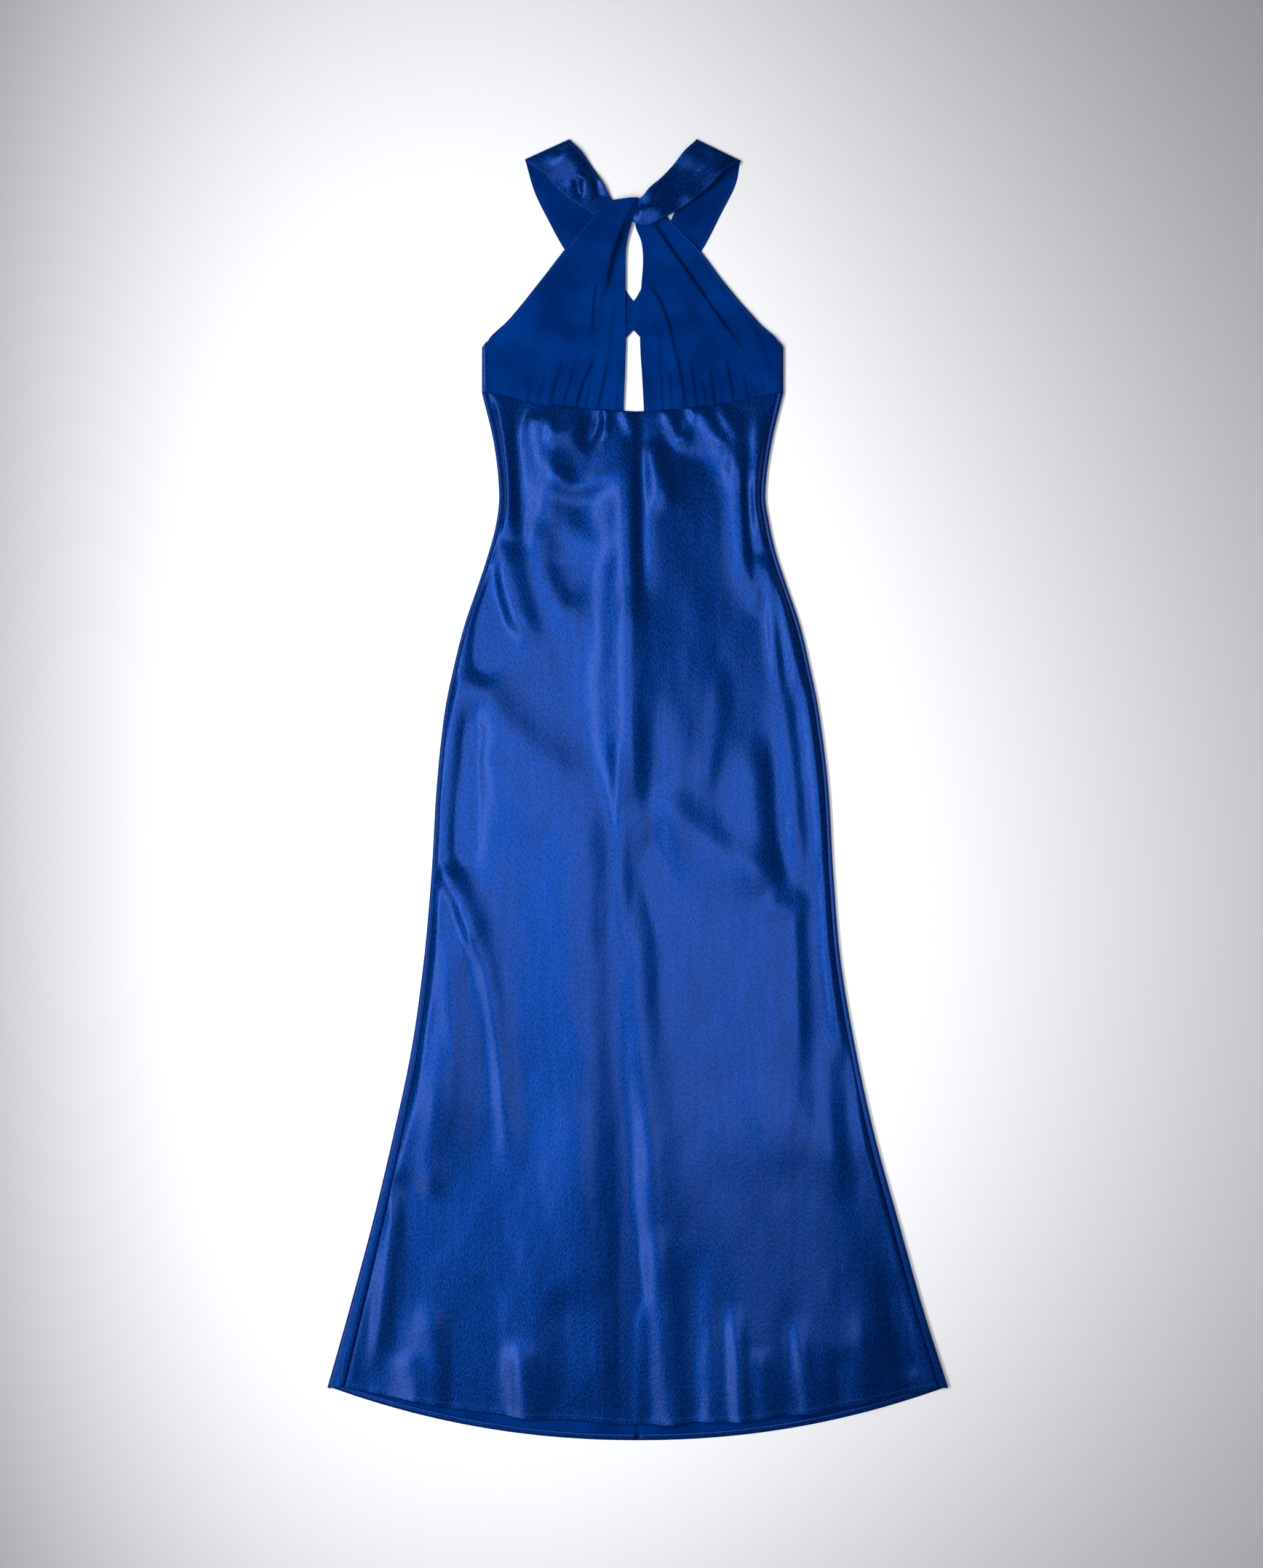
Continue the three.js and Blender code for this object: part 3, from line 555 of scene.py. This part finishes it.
def makeCrepe():
    material, tree = newMaterial("crepeFace")
    uv = addNode(tree, "ShaderNodeUVMap", {"uv_map": "cloth"})
    pebble = addNoise(tree, uv.outputs["UV"], 1 / (crepeFinish["pebble"] * mm),
                      crepeFinish["pebbleLayers"])
    # lighter and darker patches: partly the crepe's own uneven tone, partly painted shade that
    # stands in for the shading of broad hollows
    toneAndShadePatch = addNoise(tree, uv.outputs["UV"], 1 / (crepeFinish["toneAndShadePatch"] * mm),
                     crepeFinish["toneAndShadePatchLayers"])
    tone = addMix(tree, crepeFinish["toneAndShadePatchShare"], pebble, toneAndShadePatch)
    addSurface(tree, {
        "Base Color": addRamp(tree, tone, crepeFinish),
        "Roughness": crepeFinish["roughness"],
        "IOR": crepeFinish["ior"],
        "Specular IOR Level": crepeFinish["specular"],
        "Specular Tint": toLinear(crepeFinish["light"]),
        "Normal": addBump(tree, pebble, crepeFinish["pebbleRelief"]),
    })
    return material


# Sewing thread: polyester dyed to match, a touch lighter than the cloth
threadFinish = {
    "color": "#1A56B4",
    "roughness": 0.55,
    "metallic": 0.3,    # the share of its gloss that takes the dye's full colour
    "twist": 1.2,       # length of one turn of the plies, in mm
    "layers": [2, 0.5],
    "relief": [0.3, 0.2],
}


def makeThread():
    material, tree = newMaterial("sewingThread")
    place = addNode(tree, "ShaderNodeTexCoord")
    fibre = addNoise(tree, place.outputs["Object"], 1 / (threadFinish["twist"] * mm),
                     threadFinish["layers"], "3D")
    addSurface(tree, {
        "Base Color": toLinear(threadFinish["color"]),
        "Roughness": threadFinish["roughness"],
        "Metallic": threadFinish["metallic"],
        "Normal": addBump(tree, fibre, threadFinish["relief"]),
    })
    return material


satinFace = makeSatin()
crepeFace = makeCrepe()
sewingThread = makeThread()
print("materials made")


def newObject(name, data):
    thing = bpy.data.objects.new(name, data)
    bpy.context.scene.collection.objects.link(thing)
    return thing


def clothPiece(name, columns, rows, place, outside, inside, upward=True, wall=None):
    # a grid of cloth: place() takes shares across and down and gives points and flat
    # coordinates in millimetres; the outside faces along the grid's normals
    mesh = bpy.data.meshes.new(name)
    build = bmesh.new()
    bmesh.ops.create_grid(build, x_segments=columns, y_segments=rows, size=0.5)
    if not upward:
        bmesh.ops.reverse_faces(build, faces=build.faces)
    build.verts.index_update()
    shares = np.array([(vert.co.x + 0.5, 0.5 - vert.co.y) for vert in build.verts])
    build.to_mesh(mesh)
    build.free()
    points, flat = place(shares[:, 0], shares[:, 1])
    mesh.vertices.foreach_set("co", (np.asarray(points) * mm).astype(np.float32).ravel())
    layer = mesh.uv_layers.new(name="cloth")
    corners = np.empty(len(mesh.loops), dtype=np.int32)
    mesh.loops.foreach_get("vertex_index", corners)
    layer.data.foreach_set("uv", (np.asarray(flat)[corners] * mm).astype(np.float32).ravel())
    mesh.polygons.foreach_set("use_smooth", [True] * len(mesh.polygons))
    mesh.materials.append(outside)
    mesh.materials.append(inside)
    mesh.update()
    piece = newObject(name, mesh)
    thicken = piece.modifiers.new("wall", "SOLIDIFY")
    thicken.thickness = (wall or cloth["wall"]) * mm
    thicken.offset = 0
    thicken.material_offset = 1
    thicken.material_offset_rim = 0
    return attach(piece, "root")


def spacedShares(share, count, border):
    # shares along a side with count cells, whose outermost cells are only `border` wide
    place = share * count
    inner = (place - 1) / (count - 2)
    return np.where(place < 0.5, 0, np.where(place > count - 0.5, 1,
                    border + (1 - 2 * border) * np.clip(inner, 0, 1)))


def shareAt(value, count, border):
    # the share along a side at which spacedShares gives this value
    return (1 + (count - 2) * (value - border) / (1 - 2 * border)) / count


# Rows of lockstitch near the edges. A real stitch is 2.5 mm long and 0.3 mm thick; these are
# drawn 0.6 mm thick so that they show
stitches = {"pitch": 3.3, "length": 2.5, "width": 0.6, "height": 0.4, "clearance": 0.05,
            "hemInset": 6.3}


def stitchRow(name, lines):
    # lines are points in millimetres in the middle of the cloth, in order along each row
    build = bmesh.new()
    size = Matrix.Diagonal([stitches[key] / 2 * mm for key in ("length", "width", "height")] + [1])
    for line in lines:
        line = np.array(line, float)
        line[:, 2] += cloth["wall"] / 2 + stitches["clearance"]
        travel = np.concatenate(
            [[0], np.cumsum(np.linalg.norm(np.diff(line, axis=0), axis=1))])
        for number in range(int(travel[-1] / stitches["pitch"])):
            start = number * stitches["pitch"]
            ends = [Vector([np.interp(start + step, travel, line[:, axis]) for axis in range(3)])
                    for step in (0, stitches["length"])]
            turn = (ends[1] - ends[0]).to_track_quat("X", "Z").to_matrix().to_4x4()
            middle = Matrix.Translation((ends[0] + ends[1]) / 2 * mm)
            bmesh.ops.create_icosphere(build, subdivisions=1, radius=1, matrix=middle @ turn @ size)
    mesh = bpy.data.meshes.new(name)
    build.to_mesh(mesh)
    build.free()
    mesh.polygons.foreach_set("use_smooth", [True] * len(mesh.polygons))
    mesh.materials.append(sewingThread)
    row = newObject(name, mesh)
    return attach(row, "root")


# Skirt front: one flared panel, satin out, between the two side seams
skirtFront = {
    "columns": 178,
    "rows": 250,
    "sideBorder": 0.003,    # share of the width or length that the outermost cells take
    "endBorder": 0.0012,
    "length": 1170,
    "stitchSpan": [0.008, 0.992],
    "stitchPoints": 500,
}


def placeSkirtFront(across, down):
    across = spacedShares(across, skirtFront["columns"], skirtFront["sideBorder"])
    down = spacedShares(down, skirtFront["rows"], skirtFront["endBorder"])
    left, right = sideSeams(heightDown(down))
    x = left + (right - left) * across
    top, bottom = underbustSeam(across), frontHem(across)
    y = top + (bottom - top) * down
    z = frontHeight(x, y, skirtFolds)
    z += seamDip(top - y) + seamDip(x - left) + seamDip(right - x)
    hemDistance = y - bottom
    z += frontShape["hemStep"] * smoothStep(
        (frontShape["hemWidth"] - hemDistance) / frontShape["hemEdge"])
    drift, driftLength = frontShape["puckerDrift"]
    z += (frontShape["pucker"] * bump(hemDistance, frontShape["puckerReach"])
          * np.sin(x / frontShape["puckerLength"] + drift * np.sin(x / driftLength)))
    return np.stack([x, y, z], axis=1), np.stack([x, y], axis=1)


front = clothPiece("skirtFrontPanel", skirtFront["columns"], skirtFront["rows"],
                   placeSkirtFront, satinFace, crepeFace)
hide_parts("skirt_front")
along = np.linspace(*skirtFront["stitchSpan"], skirtFront["stitchPoints"])
hemLine = shareAt(1 - stitches["hemInset"] / skirtFront["length"],
                  skirtFront["rows"], skirtFront["endBorder"])
frontStitches = stitchRow(
    "hemStitches_front", [placeSkirtFront(along, np.full_like(along, hemLine))[0]])
print("skirt front made")


# Skirt back: two halves that meet at the centre-back seam. Each lies flat, turns over softly
# at the side and comes back over the top as far as the side seam
skirtBack = {
    "flat": 52,              # columns across the flat part, round the turn and along the lap
    "turn": 14,
    "lap": 6,
    "rows": 230,
    "endBorder": 0.0012,
    "length": 1180,
    "turnLength": 5,         # what the turn adds to the flat width
    "turnUp": 7.5,           # the hem turned up on the inside, where its satin face shows
    "turnUpWall": 0.5,
    "turnUpGap": 0.05,
    "turnUpGrid": [60, 3],   # columns and rows
    "stitchSpan": [0.01, 0.99],
    "stitchPoints": 250,
    "stitchDown": 0.16,      # share of the turn-up above its row of stitches
}


def placeSkirtBack(side):
    radius = (cloth["sideLevel"] - cloth["floorLevel"]) / 2
    columns = skirtBack["flat"] + skirtBack["turn"] + skirtBack["lap"]

    def place(across, down):
        down = spacedShares(down, skirtBack["rows"], skirtBack["endBorder"])
        cell = (across if side > 0 else 1 - across) * columns
        sideY = heightDown(down)
        edge = np.abs(outlineAt(sides[side], sideY))
        lap = outlineAt("lap" + sides[side].capitalize(), sideY)
        centre = side * skirtOutline["centreBack"]
        turnStart = edge - cloth["wall"] / 2 - radius
        out = np.clip(cell / skirtBack["flat"], 0, 1)
        # the angle round the half-turn, and then the share of the lap
        angle = np.clip((cell - skirtBack["flat"]) / skirtBack["turn"], 0, 1) * math.pi
        over = np.clip((cell - skirtBack["flat"] - skirtBack["turn"]) / skirtBack["lap"], 0, 1)
        width = 0.5 + 0.5 * out
        flatY = backTop(width) + (backHem(width) - backTop(width)) * down
        x = centre + (turnStart - centre) * out + radius * np.sin(angle)
        lapEnd = edge - lap
        x = np.where(over > 0, turnStart + (lapEnd - turnStart) * over, x)
        y = np.where(out < 1, flatY, sideY)
        z = cloth["floorLevel"] + radius * (1 - np.cos(angle))
        toSeam = np.where(over > 0, (1 - over) * np.abs(turnStart - lapEnd), np.inf)
        z = z + seamDip(toSeam)
        travel = np.where(over > 0, edge + skirtBack["turnLength"] + over * lap,
                          np.abs(x - centre))
        flat = np.stack([side * travel, y], axis=1)
        return np.stack([side * x, y, z], axis=1), flat

    return place


def placeTurnUp(side):
    onBack = placeSkirtBack(side)
    flatShare = skirtBack["flat"] / (skirtBack["flat"] + skirtBack["turn"] + skirtBack["lap"])

    def place(across, down):
        share = across * flatShare if side > 0 else 1 - (1 - across) * flatShare
        height = 1 - skirtBack["turnUp"] / skirtBack["length"] * (1 - down)
        points, flat = onBack(
            share, shareAt(height, skirtBack["rows"], skirtBack["endBorder"]))
        points[:, 2] += (cloth["wall"] + skirtBack["turnUpWall"]) / 2 + skirtBack["turnUpGap"]
        return points, flat

    return place


for side, word in sides.items():
    columns = skirtBack["flat"] + skirtBack["turn"] + skirtBack["lap"]
    back = clothPiece(f"skirtBackPanel_{word}", columns, skirtBack["rows"],
                      placeSkirtBack(side), satinFace, crepeFace, upward=False)
    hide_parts(f"skirt_back_{word}")
    turnUp = clothPiece(f"hemTurnUp_{word}", *skirtBack["turnUpGrid"], placeTurnUp(side),
                        satinFace, crepeFace, wall=skirtBack["turnUpWall"])
    along = np.linspace(*skirtBack["stitchSpan"], skirtBack["stitchPoints"])
    topLine = placeTurnUp(side)(along, np.full_like(along, skirtBack["stitchDown"]))[0]
    stitchRow(f"hemStitches_back_{word}", [topLine])
print("skirt back made")


def alongCurve(points, t):
    # centripetal curve through points, the way that the solids' edges run
    points = np.asarray(points, float)
    count = len(points)
    padded = np.vstack([2 * points[0] - points[1], points, 2 * points[-1] - points[-2]])
    place = np.clip(t, 0, 1) * (count - 1)
    cell = np.minimum(place.astype(int), count - 2)
    w = (place - cell)[:, None]
    p0, p1, p2, p3 = (padded[cell + shift] for shift in range(4))
    d0, d1, d2 = (np.maximum(np.linalg.norm(b - a, axis=1, keepdims=True), 1e-3) ** 0.5
                  for a, b in ((p0, p1), (p1, p2), (p2, p3)))
    slope1 = ((p1 - p0) / d0 - (p2 - p0) / (d0 + d1) + (p2 - p1) / d1) * d1
    slope2 = ((p2 - p1) / d1 - (p3 - p1) / (d1 + d2) + (p3 - p2) / d2) * d1
    return (p1 + slope1 * w + (3 * (p2 - p1) - 2 * slope1 - slope2) * w ** 2
            + (2 * (p1 - p2) + slope1 + slope2) * w ** 3)


# Bodice: two crepe panels, gathered along the underbust seam and drawn up into the twist.
# Each row of edges is [outer x, outer y, inner x, inner y]
bodice = {
    "columns": 135,
    "rows": 170,
    "sideBorder": 0.006,
    "endBorder": 0.003,
    "seamShare": 0.3,       # over which the lower part follows the bow of the seam
    "tuck": [3, 1.3],       # how far the bottom edge goes on under the skirt, and how much lower
    "tuckShare": 0.025,
    "tuckTop": 3,           # the tucked edge rises no higher than this above its layer
    "stitchSpan": [0.13, 0.63],
    "stitchPoints": 200,
    "stitchInset": 0.03,
    "left": [
        [-23, 681, 7.5, 683.5], [-35, 675, 3.2, 670], [-44, 664, -0.5, 656.5], [-78, 624, -7, 629],
        [-106, 588, -8, 590], [-143, 543, -8, 552], [-166.5, 519, -7.5, 520], [-167, 505, -8, 505],
        [-167, 480, -9, 475], [-167, 459.5, -10.5, 437.5]],
    "right": [
        [33, 676, 8, 668], [41, 661, 3, 654], [58, 643, 10, 633], [79, 621, 12, 612],
        [110, 580, 10, 582], [147, 538, 9, 552], [166.5, 519, 8.5, 522], [167, 505, 9, 505],
        [167, 480, 11, 475], [167, 459.5, 13, 437.5]],
}


# The left panel lies over the straps' ends at the twist, and the right one under them
twist = {"rise": 1.2, "riseHeight": 670, "riseReach": [60, 35],
         "sink": 1.5, "sinkFrom": 620, "sinkOver": 30}


def raiseAtTwist(side, x, y):
    if side < 0:
        reachX, reachY = twist["riseReach"]
        return twist["rise"] * np.exp(
            -(x / reachX) ** 2 - ((y - twist["riseHeight"]) / reachY) ** 2)
    return -twist["sink"] * smoothStep((y - twist["sinkFrom"]) / twist["sinkOver"])


def placeBodice(side):
    edges = np.array(bodice[sides[side]], float)

    def place(across, down):
        share = spacedShares(across if side < 0 else 1 - across, bodice["columns"],
                             bodice["sideBorder"])
        down = spacedShares(down, bodice["rows"], bodice["endBorder"])
        outer, inner = alongCurve(edges[:, :2], down), alongCurve(edges[:, 2:], down)
        point = outer + (inner - outer) * share[:, None]
        x, y = point[:, 0], point[:, 1]
        left, right = sideSeams(skirtOutline["seamTop"])
        seam = underbustSeam((x - left) / (right - left)) + skirtOutline["seamGap"]
        straight = edges[-1, 1] + (edges[-1, 3] - edges[-1, 1]) * share
        seamShare, tuckShare = bodice["seamShare"], bodice["tuckShare"]
        y = y + (seam - straight) * smoothStep((down - (1 - seamShare)) / seamShare)
        z = frontHeight(x, y, bodiceFolds) + raiseAtTwist(side, x, y)
        tuckLength, tuckDrop = bodice["tuck"]
        tucked = smoothStep((down - (1 - tuckShare)) / tuckShare)
        z = (np.minimum(z, cloth["thirdLevel"] + bodice["tuckTop"]) * tucked
             + z * (1 - tucked))
        z += seamDip(y - seam) - tuckDrop * tucked
        y = y - tuckLength * tucked
        return np.stack([x, y, z], axis=1), np.stack([x, y], axis=1)

    return place


for side, word in sides.items():
    panel = clothPiece(f"bodicePanel_{word}", bodice["columns"], bodice["rows"],
                       placeBodice(side), crepeFace, satinFace)
    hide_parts(f"bodice_front_{word}")
    down = np.linspace(*bodice["stitchSpan"], bodice["stitchPoints"])
    inset = bodice["stitchInset"] if side < 0 else 1 - bodice["stitchInset"]
    armhole = placeBodice(side)(np.full_like(down, inset), down)[0]
    stitchRow(f"edgeStitches_bodice_{word}", [armhole])
print("bodice made")


# Halter straps: each runs from the twist over its shoulder, down across the centre back and
# round the far side to the side seam. Satin is out, so the inside of the back shows crepe.
# Front rows are [outer x, outer y, inner x, inner y, height], from the twist to the shoulder;
# back rows are [outer x, outer y, inner x, inner y, lift], from the shoulder to the far side
straps = {
    "columns": 40,
    "rowsPerSpan": 16,
    "sideBorder": 0.012,
    "foldFade": [0.15, 0.12],   # share of the front over which folds die out at each end
    "sink": 0.2,                # how far a trough may go below the second layer
    "shoulderFold": 5,
    "sideTurn": 171,
    "lapLength": 3.5,
    "underarmRise": [0, 1.5, 4, 6.5, 11],   # of the armhole's corner round the side turn
    "stitchInset": 0.06,
    "stitchPoints": 120,
    "stitchFront": [0.02, 0.01],   # shares left free at the twist and before the shoulder
    "stitchBack": [4.6, 5.6],      # spans left free after the shoulder and before the end
    "left": {
        "front": [
            [-30, 655, -14, 671, 2.1], [-44, 663.5, -24, 682, 3.4], [-70, 680, -33.5, 699, 6.8],
            [-89, 697, -46, 718, 2.8], [-103, 712, -60.5, 738, 6.2]],
        "back": [
            [-124.5, 728.5, -73, 752, 0], [-113.5, 692, -52, 693, 0], [-96.5, 657, -38, 657, 0],
            [-78, 624, -24, 624, 0], [-42, 577, -8, 579, 0], [1, 532, 1.5, 565, 0],
            [20, 512, 24, 545, 0], [60, 484, 68, 527, 0], [110, 467, 116, 518, 0],
            [160, 459.8, 160, 508, 0]],
    },
    "right": {
        "front": [
            [-3, 657, 2, 680, 4.6], [14, 651.5, 10, 684, 6], [31, 657.5, 19.5, 695, 8],
            [53, 670, 32, 706, 5.2], [80, 689, 46, 721, 2.8], [106, 713.5, 60, 738, 6.4]],
        "back": [
            [125, 727, 73.5, 752, 0], [119, 701, 60, 696, 0], [101.5, 665, 46.5, 664, 0],
            [78, 621, 26, 621, 0.4], [43, 577, 9.5, 579, 1.5], [1.5, 532, 1, 565, 1.5],
            [-18, 512, -22, 545, 1.5], [-58, 484, -66, 527, 0.4], [-108, 467, -114, 518, 0],
            [-160, 459.8, -160, 508, 0]],
    },
}


def halfTurn(start, outward, top):
    # from the floor round to the height of a fold, beyond the last flat point
    radius = (top - cloth["floorLevel"]) / 2
    points = []
    for share in (0.25, 0.5, 0.75, 1):
        reach = radius * math.sin(math.pi * share)
        points.append([start[0] + outward[0] * reach, start[1] + outward[1] * reach,
                       cloth["floorLevel"] + radius * (1 - math.cos(math.pi * share))])
    return points


def strapEdge(side, rows, first):
    # one edge of a strap as a list of points: front, shoulder, back, side turn, lap
    front = [[row[first], row[first + 1], row[4]] for row in rows["front"]]
    back = [[row[first], row[first + 1], cloth["floorLevel"] + row[4]] for row in rows["back"]]
    outerX, outerY, innerX, innerY = rows["back"][0][:4]
    length = math.hypot(innerX - outerX, innerY - outerY)
    outward = [-(innerY - outerY) / length, (innerX - outerX) / length]
    if outward[1] < 0:
        outward = [-outward[0], -outward[1]]
    back[0][0] -= outward[0] * straps["shoulderFold"] / 2
    back[0][1] -= outward[1] * straps["shoulderFold"] / 2
    back[-1][0] = -side * straps["sideTurn"]
    shoulder = halfTurn(back[0], outward, cloth["shoulderLevel"])[::-1]
    turn = halfTurn(back[-1], [-side, 0], cloth["sideLevel"])
    lap = [turn[-1][0] + side * straps["lapLength"], turn[-1][1], turn[-1][2]]
    sideTurn = turn + [lap]
    if first == 2:
        for point, rise in zip(sideTurn, straps["underarmRise"]):
            point[1] += rise
    return np.array(front + shoulder + back + sideTurn)


def placeStrap(side):
    rows = straps[sides[side]]
    outerPoints, innerPoints = strapEdge(side, rows, 0), strapEdge(side, rows, 2)
    spans = len(outerPoints) - 1
    frontSpans = len(rows["front"])
    middle = (outerPoints + innerPoints) / 2
    lengths = np.concatenate([[0], np.cumsum(np.linalg.norm(np.diff(middle, axis=0), axis=1))])

    def place(across, down):
        share = spacedShares(across if side < 0 else 1 - across, straps["columns"],
                             straps["sideBorder"])
        outer, inner = alongCurve(outerPoints, down), alongCurve(innerPoints, down)
        point = outer + (inner - outer) * share[:, None]
        frontShare = np.clip(down * spans / frontSpans, 0, 1)
        fadeIn, fadeOut = straps["foldFade"]
        fade = smoothStep(frontShare / fadeIn) * smoothStep((1 - frontShare) / fadeOut)
        raised = point[:, 2] + foldHeight(strapFolds, point[:, 0], point[:, 1]) * fade
        lowest = cloth["secondLevel"] - straps["sink"]
        point[:, 2] = np.where(frontShare < 1, softFloor(raised, lowest), point[:, 2])
        width = np.linalg.norm(inner - outer, axis=1)
        travel = np.interp(down * spans, np.arange(spans + 1), lengths)
        return point, np.stack([share * width, -travel], axis=1)

    return place, spans


for side, word in sides.items():
    place, spans = placeStrap(side)
    strap = clothPiece(f"halterStrap_{word}", straps["columns"], spans * straps["rowsPerSpan"],
                       place, satinFace, crepeFace, upward=False)
    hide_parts(f"strap_front_{word}", f"strap_back_{word}")
    frontSpans = len(straps[word]["front"])
    twistEnd, frontEnd = straps["stitchFront"]
    backStart, backEnd = straps["stitchBack"]
    stretches = ((twistEnd, frontSpans / spans - frontEnd),
                 ((frontSpans + backStart) / spans, 1 - backEnd / spans))
    count, inset = straps["stitchPoints"], straps["stitchInset"]
    rows = [place(np.full(count, edge), np.linspace(first, last, count))[0]
            for edge in (inset, 1 - inset) for first, last in stretches]
    stitchRow(f"edgeStitches_strap_{word}", rows)
print("straps made")
# Studio, in metres, degrees and watts: a pale floor, a softbox above the dress whose long side
# is turned towards the lower right, and a long strip on the left that lights the folds' slopes
studio = {
    "floorSize": 6,
    "floorColor": "#E6E7EA",
    "floorRoughness": 0.9,
    "floorSpecular": 0.1,
    "floorGrain": 300,      # grains to the metre
    "floorLayers": [2, 0.5],
    "floorRelief": [0.03, 0.3],
    "keySize": [0.6, 1.1],
    "keyPlace": [0.03, -0.13, 1.3],
    "keySpread": 110,       # the softbox carries a grid, so its light falls off to the corners
    "keyTurn": [0, 0, 32],
    "keyPower": 5.0,
    "lightColor": "#FFFFFF",
    "stripSize": [0.34, 2.2],
    "stripPlace": [-0.72, 0.02, 1.1],
    "stripTurn": [0, -32, 0],
    "stripSpread": 90,
    "stripPower": 9.6,
    "fillStrength": 0.10,
    "fillColor": "#E8ECF6",
    "cameraHeight": 3.2,
    "sensorWidth": 36,      # in mm
    "viewDepth": 50,
    "frameHeight": 1.810,
    "frameCentre": [-0.0013, 0.008],
}


def makeFloor():
    material, tree = newMaterial("paleFloor")
    place = addNode(tree, "ShaderNodeTexCoord")
    grain = addNoise(tree, place.outputs["Object"], studio["floorGrain"],
                     studio["floorLayers"], "3D")
    addSurface(tree, {
        "Base Color": toLinear(studio["floorColor"]),
        "Roughness": studio["floorRoughness"],
        "Specular IOR Level": studio["floorSpecular"],
        "Normal": addBump(tree, grain, studio["floorRelief"]),
    })
    mesh = bpy.data.meshes.new("floor")
    build = bmesh.new()
    bmesh.ops.create_grid(build, x_segments=4, y_segments=4, size=studio["floorSize"] / 2)
    build.to_mesh(mesh)
    build.free()
    mesh.materials.append(material)
    newObject("floor", mesh)


def makeLight(name, size, place, turn, power, spread):
    light = bpy.data.lights.new(name, "AREA")
    light.shape = "RECTANGLE"
    light.size, light.size_y = size
    light.energy = power
    light.spread = math.radians(spread)
    light.color = toLinear(studio["lightColor"])[:3]
    softbox = newObject(name, light)
    softbox.location = place
    softbox.rotation_euler = [math.radians(angle) for angle in turn]
    softbox.visible_camera = False


def makeLights():
    makeLight("softbox", studio["keySize"], studio["keyPlace"], studio["keyTurn"],
              studio["keyPower"], studio["keySpread"])
    makeLight("sideStrip", studio["stripSize"], studio["stripPlace"], studio["stripTurn"],
              studio["stripPower"], studio["stripSpread"])
    world = bpy.data.worlds.new("studioFill")
    world.use_nodes = True
    backdrop = world.node_tree.nodes["Background"]
    backdrop.inputs["Color"].default_value = toLinear(studio["fillColor"])
    backdrop.inputs["Strength"].default_value = studio["fillStrength"]
    bpy.context.scene.world = world


def makeCamera():
    lens = bpy.data.cameras.new("camera")
    lens.sensor_fit = "AUTO"
    lens.sensor_width = studio["sensorWidth"]
    lens.lens = lens.sensor_width * studio["cameraHeight"] / studio["frameHeight"]
    lens.clip_end = studio["viewDepth"]
    camera = newObject("camera", lens)
    camera.location = (*studio["frameCentre"], studio["cameraHeight"])
    bpy.context.scene.camera = camera


makeFloor()
makeLights()
makeCamera()
bpy.context.scene.view_settings.view_transform = "Standard"
print("studio made")

bpy.context.view_layer.update()
